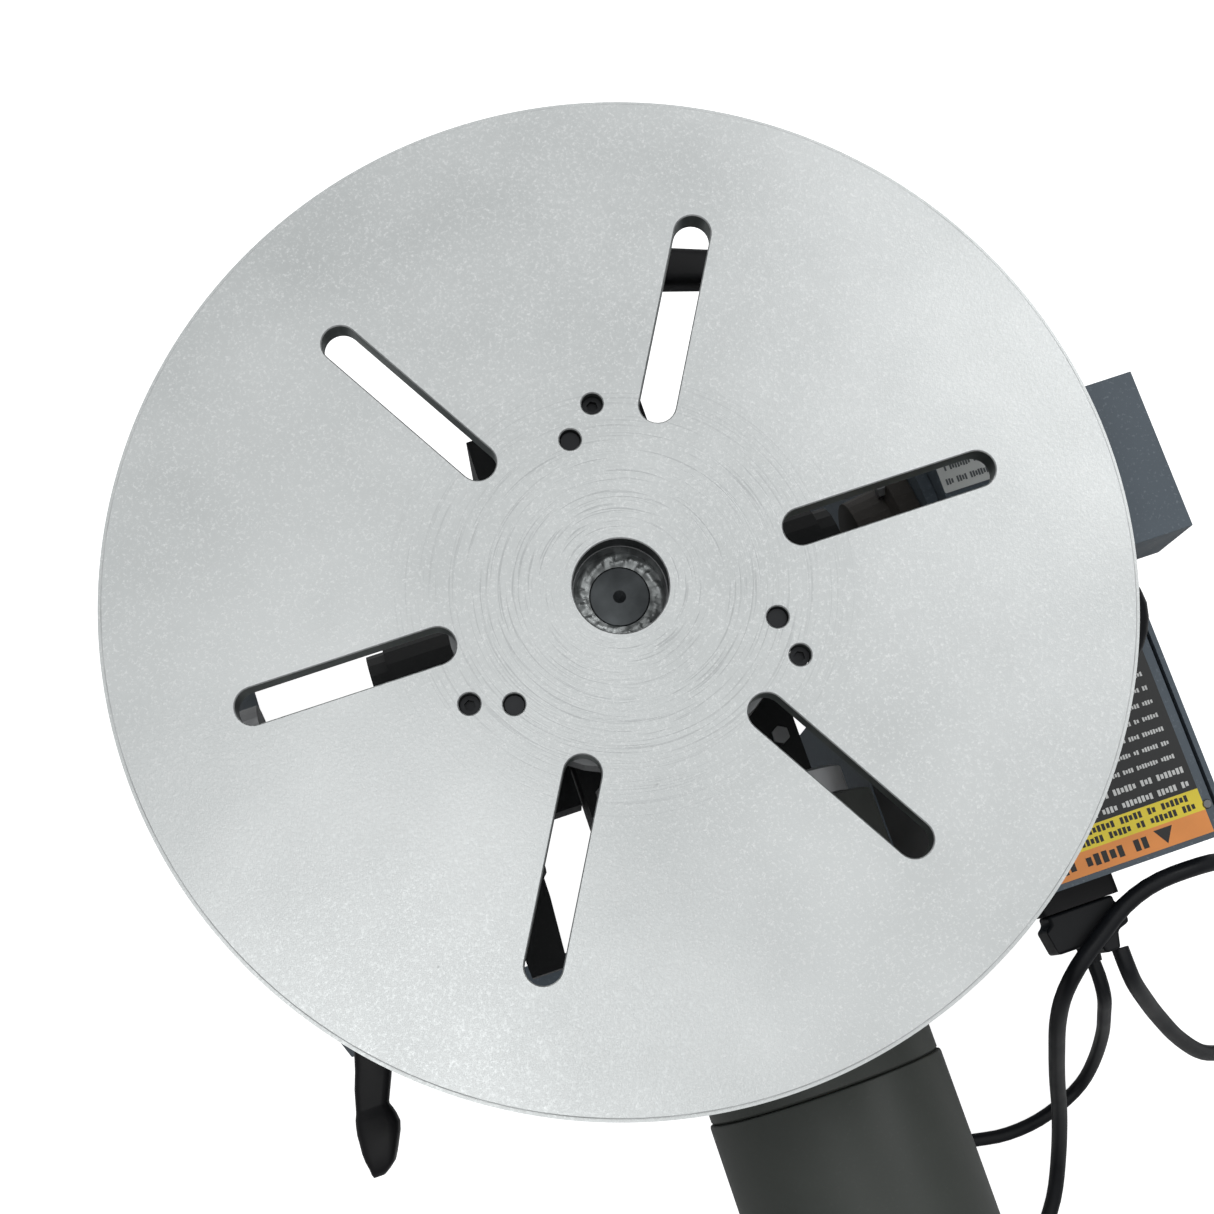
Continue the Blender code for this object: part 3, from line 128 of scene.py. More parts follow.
def new_material(name, colour, roughness, metallic, specular=0.5):
    material = bpy.data.materials.new(name)
    material.use_nodes = True
    shader = material.node_tree.nodes["Principled BSDF"]
    shader.inputs["Base Color"].default_value = (*colour, 1)
    shader.inputs["Roughness"].default_value = roughness
    shader.inputs["Metallic"].default_value = metallic
    shader.inputs["Specular IOR Level"].default_value = specular
    return material, shader, material.node_tree


def node(tree, kind, **values):
    made = tree.nodes.new(kind)
    for key, value in values.items():
        if key in made.inputs:
            made.inputs[key].default_value = value
        else:
            setattr(made, key, value)
    return made


def object_place(tree):
    return tree.nodes.new("ShaderNodeTexCoord").outputs["Object"]


def noise(tree, scale, detail=3.0, roughness=0.55, place=None):
    made = tree.nodes.new("ShaderNodeTexNoise")
    made.inputs["Scale"].default_value = scale
    made.inputs["Detail"].default_value = detail
    made.inputs["Roughness"].default_value = roughness
    tree.links.new(place or object_place(tree), made.inputs["Vector"])
    return made.outputs["Fac"]


def ramp(tree, value, stops):
    made = tree.nodes.new("ShaderNodeValToRGB")
    made.color_ramp.elements[0].position = stops[0][0]
    made.color_ramp.elements[0].color = (*stops[0][1], 1)
    made.color_ramp.elements[1].position = stops[-1][0]
    made.color_ramp.elements[1].color = (*stops[-1][1], 1)
    for place, colour in stops[1:-1]:
        made.color_ramp.elements.new(place).color = (*colour, 1)
    tree.links.new(value, made.inputs["Fac"])
    return made.outputs["Color"]


def spread(tree, value, low, high, from_low=0.3, from_high=0.7):
    made = tree.nodes.new("ShaderNodeMapRange")
    for key, number in (("From Min", from_low), ("From Max", from_high), ("To Min", low), ("To Max", high)):
        made.inputs[key].default_value = number
    tree.links.new(value, made.inputs["Value"])
    return made.outputs["Result"]


def sums(tree, operation, a, b):
    made = tree.nodes.new("ShaderNodeMath")
    made.operation = operation
    for socket, value in zip(made.inputs, (a, b)):
        if isinstance(value, (int, float)):
            socket.default_value = value
        else:
            tree.links.new(value, socket)
    return made.outputs["Value"]


def blend_colours(tree, share, a, b):
    made = tree.nodes.new("ShaderNodeMix")
    made.data_type = "RGBA"
    tree.links.new(share, made.inputs["Factor"])
    for socket, value in ((made.inputs["A"], a), (made.inputs["B"], b)):
        if isinstance(value, tuple):
            socket.default_value = (*value, 1)
        else:
            tree.links.new(value, socket)
    return made.outputs["Result"]


def tinted(colour, factor):
    return tuple(min(1.0, c * factor) for c in colour)


def add_bump(tree, shader, height, strength, distance):
    bump = tree.nodes.new("ShaderNodeBump")
    bump.inputs["Strength"].default_value = strength
    bump.inputs["Distance"].default_value = distance
    tree.links.new(height, bump.inputs["Height"])
    tree.links.new(bump.outputs["Normal"], shader.inputs["Normal"])


def paint(name, colour, fleck, roughness=0.5, fleck_share=0.12, grain=900.0, bump=0.35):
    """A sprayed paint with fine texture and pale or dark flecks."""
    material, shader, tree = new_material(name, colour, roughness, 0.0, 0.3)
    cloud = noise(tree, 14.0, 4)
    base = ramp(tree, cloud, [(0.35, tinted(colour, 0.9)), (0.65, tinted(colour, 1.1))])
    specks = noise(tree, grain, 2, 0.6)
    share = spread(tree, specks, 0.0, fleck_share * 4, 0.58, 0.78)
    tree.links.new(blend_colours(tree, share, base, fleck), shader.inputs["Base Color"])
    tree.links.new(spread(tree, cloud, roughness - 0.06, roughness + 0.06), shader.inputs["Roughness"])
    add_bump(tree, shader, noise(tree, grain * 0.8, 3), bump, 0.00008)
    return material


def metal(name, colour, roughness, mottling=0.12, grain=500.0, bump=0.25):
    """A bare or blackened metal with cloudy tone and fine grain."""
    material, shader, tree = new_material(name, colour, roughness, 1.0)
    tone = ramp(tree, noise(tree, 30.0, 5), [(0.35, tinted(colour, 1 - mottling)),
                                            (0.65, tinted(colour, 1 + mottling))])
    tree.links.new(tone, shader.inputs["Base Color"])
    gloss = spread(tree, noise(tree, 90.0, 4), roughness - 0.08, roughness + 0.1)
    tree.links.new(gloss, shader.inputs["Roughness"])
    add_bump(tree, shader, noise(tree, grain, 3), bump, 0.00006)
    return material


def moulded(name, colour, roughness=0.42, bump=0.3, grain=1400.0):
    """Moulded plastic or rubber with a fine spark-eroded texture."""
    material, shader, tree = new_material(name, colour, roughness, 0.0, 0.25)
    cloud = noise(tree, 60.0, 3)
    tone = ramp(tree, cloud, [(0.3, tinted(colour, 0.8)), (0.7, tinted(colour, 1.3))])
    tree.links.new(tone, shader.inputs["Base Color"])
    tree.links.new(spread(tree, cloud, roughness - 0.05, roughness + 0.07), shader.inputs["Roughness"])
    add_bump(tree, shader, noise(tree, grain, 2), bump, 0.00005)
    return material


def printed(name, colour):
    """A printed label colour, slightly worn."""
    material, shader, tree = new_material(name, colour, 0.34, 0.0)
    cloud = noise(tree, 45.0, 3)
    worn = ramp(tree, cloud, [(0.3, tinted(colour, 0.93)), (0.7, tinted(colour, 1.05))])
    tree.links.new(worn, shader.inputs["Base Color"])
    tree.links.new(spread(tree, cloud, 0.28, 0.42), shader.inputs["Roughness"])
    return material


def ground_table(name):
    """Bright ground steel: sparkling grain, cloudy tone and broken turning marks round the bore."""
    material, shader, tree = new_material(name, (0.62, 0.64, 0.64), 0.4, 1.0)
    place = object_place(tree)
    flat = node(tree, "ShaderNodeVectorMath", operation="MULTIPLY")
    flat.inputs[1].default_value = (1, 1, 0)
    tree.links.new(place, flat.inputs[0])
    radius = node(tree, "ShaderNodeVectorMath", operation="LENGTH")
    tree.links.new(flat.outputs["Vector"], radius.inputs[0])
    radius = radius.outputs["Value"]
    ray = node(tree, "ShaderNodeVectorMath", operation="NORMALIZE")
    tree.links.new(flat.outputs["Vector"], ray.inputs[0])
    around = node(tree, "ShaderNodeSeparateXYZ")
    tree.links.new(ray.outputs["Vector"], around.inputs["Vector"])

    def rings(fine, turns):
        spiral = node(tree, "ShaderNodeCombineXYZ")
        tree.links.new(sums(tree, "MULTIPLY", around.outputs["X"], turns), spiral.inputs["X"])
        tree.links.new(sums(tree, "MULTIPLY", around.outputs["Y"], turns), spiral.inputs["Y"])
        tree.links.new(sums(tree, "MULTIPLY", radius, fine), spiral.inputs["Z"])
        return noise(tree, 1.0, 2.0, 0.6, spiral.outputs["Vector"])

    near = spread(tree, radius, 1.0, 0.0, *MARKS_FADE)
    scratches = sums(tree, "MULTIPLY", spread(tree, rings(1150, 1.2), 0.0, 1.0, 0.56, 0.66), near)
    feed_marks = spread(tree, rings(900, 5.0), 0.0, 1.0, 0.40, 0.60)
    grain = noise(tree, 880.0, 3, 0.7)
    cloud = noise(tree, 5.0, 4)
    tone = ramp(tree, cloud, [(0.32, (0.54, 0.56, 0.56)), (0.50, (0.63, 0.65, 0.65)),
                              (0.68, (0.72, 0.74, 0.74))])
    sparkle = spread(tree, grain, 0.0, 0.55, 0.52, 0.72)
    lit = blend_colours(tree, sparkle, tone, (0.92, 0.93, 0.93))
    specks = spread(tree, noise(tree, 150.0, 1, 0.4), 0.0, 0.6, 0.82, 0.85)
    marked = blend_colours(tree, specks, lit, (0.32, 0.33, 0.33))
    dimmed = blend_colours(tree, sums(tree, "MULTIPLY", scratches, 0.33), marked, (0.26, 0.27, 0.28))
    tree.links.new(dimmed, shader.inputs["Base Color"])
    tree.links.new(spread(tree, grain, 0.30, 0.50), shader.inputs["Roughness"])
    groove = sums(tree, "MULTIPLY", scratches, 0.5)
    ridge = sums(tree, "MULTIPLY", sums(tree, "MULTIPLY", feed_marks, near), 0.35)
    height = sums(tree, "SUBTRACT", sums(tree, "MULTIPLY", grain, 1.2), groove)
    height = sums(tree, "ADD", height, ridge)
    add_bump(tree, shader, height, 0.5, 0.00011)
    return material


def make_materials():
    made = {
        "ground_steel": ground_table("ground_steel"),
        "dark_steel": metal("dark_steel", (0.22, 0.225, 0.23), 0.45),
        "bronze": metal("bronze", (0.62, 0.42, 0.18), 0.38),
        "aluminium": metal("aluminium", (0.62, 0.63, 0.64), 0.42),
        "black_paint": paint("black_paint", (0.008, 0.009, 0.010), (0.03, 0.03, 0.03), 0.5),
        "olive_grey_paint": paint("olive_grey_paint", (0.060, 0.066, 0.060), (0.10, 0.105, 0.098),
                                  0.44, 0.05, 700),
        "slate_paint": paint("slate_paint", (0.105, 0.130, 0.155), (0.30, 0.34, 0.38),
                             0.5, 0.10, 620, 0.55),
        "cast_grey": paint("cast_grey", (0.055, 0.050, 0.045), (0.12, 0.11, 0.10), 0.6, 0.1, 500, 0.6),
        "black_plastic": moulded("black_plastic", (0.006, 0.006, 0.007)),
        "black_rubber": moulded("black_rubber", (0.009, 0.010, 0.012), 0.38, 0.12),
        # A bright non-metal finish for the table's rim chamfer: a painted highlight.
        "rim_painted_highlight": moulded("rim_painted_highlight", (0.62, 0.64, 0.64), 0.35, 0.1),
        # Darker copies of the table's steel for its slot walls, rim side and bore: painted shade.
        "wall_painted_shade": metal("wall_painted_shade", (0.22, 0.24, 0.235), 0.5),
        "bore_painted_shade": metal("bore_painted_shade", (0.055, 0.06, 0.062), 0.5),
        "spindle_end": metal("spindle_end", (0.085, 0.092, 0.096), 0.5, 0.35, 300, 0.7),
        "black_oxide": metal("black_oxide", (0.035, 0.036, 0.038), 0.4),
        "copper": metal("copper", (0.50, 0.24, 0.12), 0.4),
        "weld": metal("weld", (0.42, 0.44, 0.44), 0.5, 0.35, 420, 1.0),
    }
    for name, colour in LABEL_COLOURS.items():
        made[name] = printed(name, colour)
    return made


# ---- places ----

CORNER_ANGLES = (45, 135, 225, 315)


def middle_of(name):
    low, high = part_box(name)
    return ((low.x + high.x) / 2, (low.y + high.y) / 2, (low.z + high.z) / 2)


def axis_along_y(name):
    """Where a turned node's axis passes, its radius, and its front and rear."""
    low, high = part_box(name)
    x, _, z = middle_of(name)
    return (x, z), (high.z - low.z) / 2, low.y, high.y


# ---- shapes ----

AXES = {
    "Z": Matrix.Identity(4),
    "X": Matrix(((0, 0, 1, 0), (1, 0, 0, 0), (0, 1, 0, 0), (0, 0, 0, 1))),
    "Y": Matrix(((1, 0, 0, 0), (0, 0, 1, 0), (0, 1, 0, 0), (0, 0, 0, 1))),
}


def circle(radius, count, u=0.0, v=0.0):
    return [(u + radius * math.cos(2 * math.pi * i / count), v + radius * math.sin(2 * math.pi * i / count))
            for i in range(count)]


def arc(radius, start, end, count, u=0.0, v=0.0):
    angles = [math.radians(start + (end - start) * i / count) for i in range(count + 1)]
    return [(u + radius * math.cos(a), v + radius * math.sin(a)) for a in angles]


def rounded_rectangle(u0, v0, u1, v1, radius, count=5):
    corners = ((u1 - radius, v1 - radius, 0), (u0 + radius, v1 - radius, 90),
               (u0 + radius, v0 + radius, 180), (u1 - radius, v0 + radius, 270))
    points = []
    for u, v, start in corners:
        points += arc(radius, start, start + 90, count, u, v)
    return points


def polar(radius, angle):
    return (radius * math.cos(math.radians(angle)), radius * math.sin(math.radians(angle)))


def finish_shape(shape, axis):
    bmesh.ops.transform(shape, matrix=AXES[axis], verts=shape.verts[:])
    bmesh.ops.recalc_face_normals(shape, faces=shape.faces[:])
    return shape


def extrude_outline(outer, holes, low, high, axis="Z"):
    shape = bmesh.new()
    edges = []
    for loop in [outer] + list(holes):
        verts = [shape.verts.new((u, v, low)) for u, v in loop]
        edges += [shape.edges.new(pair) for pair in zip(verts, verts[1:] + verts[:1])]
    bmesh.ops.triangle_fill(shape, use_beauty=True, use_dissolve=False, edges=edges)
    lifted = bmesh.ops.extrude_face_region(shape, geom=shape.faces[:])["geom"]
    lifted = [item for item in lifted if isinstance(item, bmesh.types.BMVert)]
    bmesh.ops.translate(shape, verts=lifted, vec=(0, 0, high - low))
    return finish_shape(shape, axis)


def turned(profile, count, axis="Z", centre=(0.0, 0.0)):
    shape = bmesh.new()
    rings = []
    for radius, height in profile:
        if radius < 1e-9:
            rings.append([shape.verts.new((centre[0], centre[1], height))])
        else:
            rings.append([shape.verts.new((u, v, height)) for u, v in circle(radius, count, *centre)])
    for ring, after in zip(rings, rings[1:] + rings[:1]):
        for i in range(count):
            corners = [ring[i % len(ring)], ring[(i + 1) % len(ring)],
                       after[(i + 1) % len(after)], after[i % len(after)]]
            corners = list(dict.fromkeys(corners))
            if len(corners) > 2:
                shape.faces.new(corners)
    return finish_shape(shape, axis)


def rod(radius, low, high, count, axis, centre):
    return turned([(0, low), (radius, low), (radius, high), (0, high)], count, axis, centre)


def block(low, high):
    outline = [(low[0], low[1]), (high[0], low[1]), (high[0], high[1]), (low[0], high[1])]
    return extrude_outline(outline, [], low[2], high[2])


def soft_outline(half, tall, share, count):
    """A rounded rectangle about zero, its corners sized by its shorter half."""
    return rounded_rectangle(-half, -tall, half, tall, min(half, tall) * share, count)


def hexagon(width):
    return [polar(width / math.sqrt(3), 60 * i + 30) for i in range(6)]


def shifted(points, u, v):
    return [(u + a, v + b) for a, b in points]


def bridge(shape, rows):
    """Faces between each closed row of corners and the next."""
    for row, after in zip(rows, rows[1:]):
        for i in range(len(row)):
            j = (i + 1) % len(row)
            shape.faces.new((row[i], row[j], after[j], after[i]))


def merge(shapes):
    whole = bmesh.new()
    for shape in shapes:
        mesh = bpy.data.meshes.new("part")
        shape.to_mesh(mesh)
        shape.free()
        whole.from_mesh(mesh)
        bpy.data.meshes.remove(mesh)
    return whole


def loft(sections):
    """Bridge equal point loops into a closed body."""
    shape = bmesh.new()
    rows = [[shape.verts.new(p) for p in section] for section in sections]
    bridge(shape, rows)
    shape.faces.new(rows[0])
    shape.faces.new(rows[-1])
    bmesh.ops.recalc_face_normals(shape, faces=shape.faces[:])
    return shape


def piece(name, shape, material, body, replaced=(), bevel=0.0, smooth=32, segments=2):
    """A finished piece on a body, with soft edges."""
    mesh = bpy.data.meshes.new(name)
    shape.to_mesh(mesh)
    shape.free()
    mesh.materials.append(material)
    made = bpy.data.objects.new(name, mesh)
    bpy.context.scene.collection.objects.link(made)
    if bevel:
        edge = made.modifiers.new("edge", "BEVEL")
        edge.width = bevel
        edge.segments = segments
        edge.limit_method = "ANGLE"
        edge.angle_limit = math.radians(40)
        edge.use_clamp_overlap = True
        edge.harden_normals = False
    mesh.shade_smooth()
    mesh.set_sharp_from_angle(angle=math.radians(smooth))
    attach(made, body)
    if replaced:
        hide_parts(*replaced)
    return made


def cut(target, shape):
    """Cut a shape out of a piece's mesh, leaving its modifiers to follow."""
    mesh = bpy.data.meshes.new("cutter")
    shape.to_mesh(mesh)
    shape.free()
    tool = bpy.data.objects.new("cutter", mesh)
    bpy.context.scene.collection.objects.link(tool)
    step = target.modifiers.new("cut", "BOOLEAN")
    step.operation = "DIFFERENCE"
    step.solver = "EXACT"
    step.object = tool
    target.modifiers.move(len(target.modifiers) - 1, 0)
    bpy.context.view_layer.update()
    depsgraph = bpy.context.evaluated_depsgraph_get()
    stack = [m for m in target.modifiers if m != step]
    shown = [m.show_viewport for m in stack]
    for m in stack:
        m.show_viewport = False
    bpy.context.view_layer.update()
    depsgraph.update()
    cut_mesh = bpy.data.meshes.new_from_object(target.evaluated_get(depsgraph))
    for m, state in zip(stack, shown):
        m.show_viewport = state
    target.modifiers.remove(step)
    target.data = cut_mesh
    bpy.data.objects.remove(tool)


# ---- leads ----

SPAN_POINTS = 24        # points a smooth route has between two of its given ones


def smooth_route(points, step):
    """Points about a step apart on a smooth curve through the given ones."""
    route = [Vector(p) for p in points]
    padded = [route[0] * 2 - route[1]] + route + [route[-1] * 2 - route[-2]]
    dense = []
    for a, b, c, d in zip(padded, padded[1:], padded[2:], padded[3:]):
        for i in range(SPAN_POINTS):
            t = i / SPAN_POINTS
            dense.append(0.5 * (2 * b + (c - a) * t + (2 * a - 5 * b + 4 * c - d) * t ** 2
                                + (3 * b - a - 3 * c + d) * t ** 3))
    dense.append(route[-1])
    lengths = [0.0]
    for a, b in zip(dense, dense[1:]):
        lengths.append(lengths[-1] + (b - a).length)
    count = max(2, round(lengths[-1] / step))
    picked = []
    at = 0
    for i in range(count + 1):
        goal = lengths[-1] * i / count
        while at < len(dense) - 2 and lengths[at + 1] < goal:
            at += 1
        share = (goal - lengths[at]) / (lengths[at + 1] - lengths[at])
        picked.append(dense[at].lerp(dense[at + 1], share))
    return picked


def cord_curve(name, points, radius, material):
    """A round cord or rod along these points."""
    curve = bpy.data.curves.new(name, "CURVE")
    curve.dimensions = "3D"
    curve.bevel_depth = radius
    curve.bevel_resolution = 6
    curve.use_fill_caps = True
    spline = curve.splines.new("POLY")
    spline.points.add(len(points) - 1)
    for target, point in zip(spline.points, points):
        target.co = (*point, 1.0)
    curve.materials.append(material)
    made = bpy.data.objects.new(name, curve)
    bpy.context.scene.collection.objects.link(made)
    return made


COIL_STEP = 9           # degrees between points
COIL_CLIMB = 200        # degrees over which the last turn climbs


def flat_coil(centre, start, sweep, outer, inner, low, rise):
    """A clockwise spiral from outer to inner radius, whose end climbs by rise."""
    points = []
    count = round(sweep / COIL_STEP)
    for i in range(count + 1):
        share = i / count
        angle = start - sweep * share
        radius = outer + (inner - outer) * share
        climb = max(0.0, (share * sweep - (sweep - COIL_CLIMB)) / COIL_CLIMB)
        height = low + rise * climb * climb * (3 - 2 * climb)
        points.append(Vector((*[c + p for c, p in zip(centre, polar(radius, angle))], height)))
    return points


MAINS_ROUTE = [(-180, 199, 161), (-180, 203, 161), (-180, 208, 161), (-183, 216, 151), (-190, 226, 132),
               (-200, 238, 106), (-214, 254, 76), (-232, 268, 46), (-252, 272, 24), (-270, 261, 15),
               (-280, 241, 24), (-281, 220, 56), (-273, 201, 98), (-257, 186, 140), (-238, 177, 168),
               (-218, 175, 178.4), (-200, 176, 179.4), (-184, 181, 179.4), (-169, 190, 179), (-156, 199, 176),
               (-147, 210, 165), (-144, 222, 146), (-145, 236, 118), (-147, 252, 86), (-149, 272, 52),
               (-147, 294, 24), (-140, 315, 9), (-128, 332, 4.4), (-116, 347, 4.4)]
MAINS_RADIUS = 4 * MM
PEDAL_ROUTE = [(-176, 203.6, 121), (-176, 207.6, 121), (-176, 212, 121), (-177, 221, 112), (-180, 230, 88),
               (-183, 241, 58), (-182, 254, 28), (-176, 265, 9), (-164, 272, 3.9), (-146, 277, 3.9),
               (-127, 278, 3.9), (-108, 275, 3.9), (-94, 274.5, 3.9), (-82, 275.5, 3.9)]
PEDAL_RADIUS = 3.5 * MM
CONTROL_ROUTE = [(-211, 20, 266), (-212, 30, 259), (-214, 41, 250.5), (-218.5, 50, 245), (-221.5, 60, 239),
                 (-219.5, 70, 232), (-213, 78.5, 225.5), (-202, 84.5, 218.5), (-189, 87.5, 213),
                 (-181.5, 88, 206), (-180, 88, 197), (-180, 88, 186)]
CONTROL_RADIUS = 4 * MM
END_GAP = 0.3 * MM      # left between a lead's end and the connector on it


def scaled(points):
    return [Vector(p) * MM for p in points]


def add_mains_lead(materials):
    route = scaled(MAINS_ROUTE)
    centre = middle_of("mains_coil")[:2]
    coil = flat_coil(centre, 168, 168 - 90 + 3 * 360, 60 * MM, 32 * MM, 4.3 * MM, 15.3 * MM)
    plug_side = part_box("mains_plug")[0].x
    tail = [Vector((x, coil[-1].y, coil[-1].z)) for x in (centre[0] + 8 * MM, plug_side - END_GAP)]
    points = smooth_route(route + coil + tail, 7 * MM)
    lead = cord_curve("mains_lead_cord", points, MAINS_RADIUS, materials["black_rubber"])
    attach(lead, "base")
    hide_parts("mains_lead", "mains_coil")


def add_pedal_lead(materials):
    route = scaled(PEDAL_ROUTE)
    centre = middle_of("pedal_coil")[:2]
    coil = flat_coil(centre, 104, 104 + 3 * 360, 52.5 * MM, 28 * MM, 3.8 * MM, 12.1 * MM)
    connector_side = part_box("pedal_connector")[1].y
    tail = [Vector((coil[-1].x, y, coil[-1].z)) for y in (coil[-1].y - 7 * MM, connector_side + END_GAP)]
    points = smooth_route(route + coil + tail, 6 * MM)
    lead = cord_curve("pedal_lead_cord", points, PEDAL_RADIUS, materials["black_rubber"])
    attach(lead, "base")
    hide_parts("pedal_lead", "pedal_coil")


def add_control_cable(materials):
    points = smooth_route(scaled(CONTROL_ROUTE), 6 * MM)
    cable = cord_curve("control_cable_cord", points, CONTROL_RADIUS, materials["black_rubber"])
    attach(cable, "base")
    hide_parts("control_cable")


# ---- table ----

TABLE_RADIUS = 200 * MM
BORE_RADIUS = 18.6 * MM
BOLT_HOLE_RADIUS = 4.25 * MM
HUB_HOLES = (61.3 * MM, 270)            # radius of the ring and angle of its first hole
LEVELLING_HOLES = (73.55 * MM, 260)
SLOT_HALF = 7.25 * MM
SLOT_INNER, SLOT_OUTER = 73.8 * MM, 146.6 * MM
RIM_CHAMFER, HOLE_CHAMFER = 1.3 * MM, 0.45 * MM
GROUND, WALL_SHADE, BORE_SHADE, RIM_HIGHLIGHT = range(4)     # material places on the table; its upright walls and bore get painted shade, its rim chamfer a painted highlight


def radial_slot(angle, count=14):
    shape = arc(SLOT_HALF, -90, 90, count, SLOT_OUTER) + arc(SLOT_HALF, 90, 270, count, SLOT_INNER)
    turn = math.radians(angle)
    return [(u * math.cos(turn) - v * math.sin(turn), u * math.sin(turn) + v * math.cos(turn))
            for u, v in shape]


def level(edge):
    return abs(edge.verts[0].co.z - edge.verts[1].co.z) < 1e-6


def add_table(materials):
    low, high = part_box("table_plate")
    holes = [circle(BORE_RADIUS, 72)] + [radial_slot(60 * i) for i in range(6)]
    for radius, first in (HUB_HOLES, LEVELLING_HOLES):
        holes += [circle(BOLT_HOLE_RADIUS, 28, *polar(radius, first + 120 * i)) for i in range(3)]
    shape = extrude_outline(circle(TABLE_RADIUS, 320), holes, low.z, high.z)
    rim = [e for e in shape.edges if level(e) and e.calc_length() < 10 * MM
           and all(v.co.xy.length > TABLE_RADIUS - 1e-5 for v in e.verts)]
    bmesh.ops.bevel(shape, geom=rim, offset=RIM_CHAMFER, segments=2, affect="EDGES")
    edges = [e for e in shape.edges if e.is_manifold and level(e)
             and e.verts[0].co.z > high.z - 1e-5 and e.calc_face_angle() > 1.2]
    bmesh.ops.bevel(shape, geom=edges, offset=HOLE_CHAMFER, segments=1, affect="EDGES")
    shape.faces.ensure_lookup_table()
    shape.normal_update()
    for face in shape.faces:
        distance = face.calc_center_median().xy.length
        # Upright faces take darker copies of the steel: painted shade, near-black in the bore.
        if abs(face.normal.z) < 0.3:
            face.material_index = BORE_SHADE if distance < BORE_RADIUS + 1.4 * MM else WALL_SHADE
        # The rim chamfer takes the bright non-metal finish: a painted highlight.
        elif abs(face.normal.z) < 0.95 and distance > TABLE_RADIUS - 5 * MM:
            face.material_index = RIM_HIGHLIGHT
    top = piece("table_top", shape, materials["ground_steel"], "table", ["table_plate"],
                smooth=25)
    for name in ("wall_painted_shade", "bore_painted_shade", "rim_painted_highlight"):
        top.data.materials.append(materials[name])

    spindle_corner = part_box("spindle")[1]
    add_weld(materials, spindle_corner.x, spindle_corner.z)
    for name in ("hub_bolt_1", "hub_bolt_2", "hub_bolt_3"):
        nodes[name].data.materials[0] = materials["black_oxide"]
    nodes["spindle"].data.materials[0] = materials["spindle_end"]

    radius, first = LEVELLING_HOLES
    head_top, head_low = high.z - 4.5 * MM, high.z - 7 * MM
    screws = []
    for angle in (first - 240, first - 120, first):
        place = polar(radius, angle)
        outer = circle(3.9 * MM, 24, *place)
        screws.append(extrude_outline(outer, [shifted(hexagon(4 * MM), *place)], head_low, head_top))
        screws.append(extrude_outline(outer, [], low.z + MM, head_low - 0.05 * MM))
    piece("levelling_screws", merge(screws), materials["black_oxide"], "table")


def add_weld(materials, spindle_radius, top):
    """A rough weld bead that laps over the edge of the spindle's end."""
    count = 120
    inner, outer = spindle_radius - 0.5 * MM, BORE_RADIUS - 0.3 * MM
    shape = bmesh.new()
    rows = []
    for j in range(11):
        share = j / 10
        row = []
        for i in range(count):
            angle = 2 * math.pi * i / count
            wobble = 0.35 * math.sin(19 * angle + 2.2 * math.sin(3 * angle))
            wobble += 0.25 * math.sin(41 * angle + 5 * share)
            wobble += 0.3 * math.sin(7 * angle + 9 * share)
            crown = math.sin(math.pi * share)
            radius = inner + (outer - inner) * share + 0.25 * MM * math.sin(11 * angle) * crown
            height = crown * (1.2 + wobble) * MM - 0.25 * MM
            row.append(shape.verts.new((*polar(radius, 360 * i / count), top + height)))
        rows.append(row)
    bridge(shape, rows + rows[:1])
    bmesh.ops.recalc_face_normals(shape, faces=shape.faces[:])
    piece("weld_bead", shape, materials["weld"], "table", smooth=50)


# ---- motor ----

PINION_PLACE = -38 * MM         # the motor shaft's X, where it passes the adapter and gearhead
PINION_ROOM = 9 * MM
SHAFT_ROOM = 5.3 * MM
MOTOR_WALL = 4 * MM
END_SCREW_RING = 41 * MM


def rear_corner(radius, rear, size, angles):
    """Profile points round the rear edge of a turned part."""
    return [(radius - size + u, rear - size + v) for u, v in (polar(size, angle) for angle in angles)]


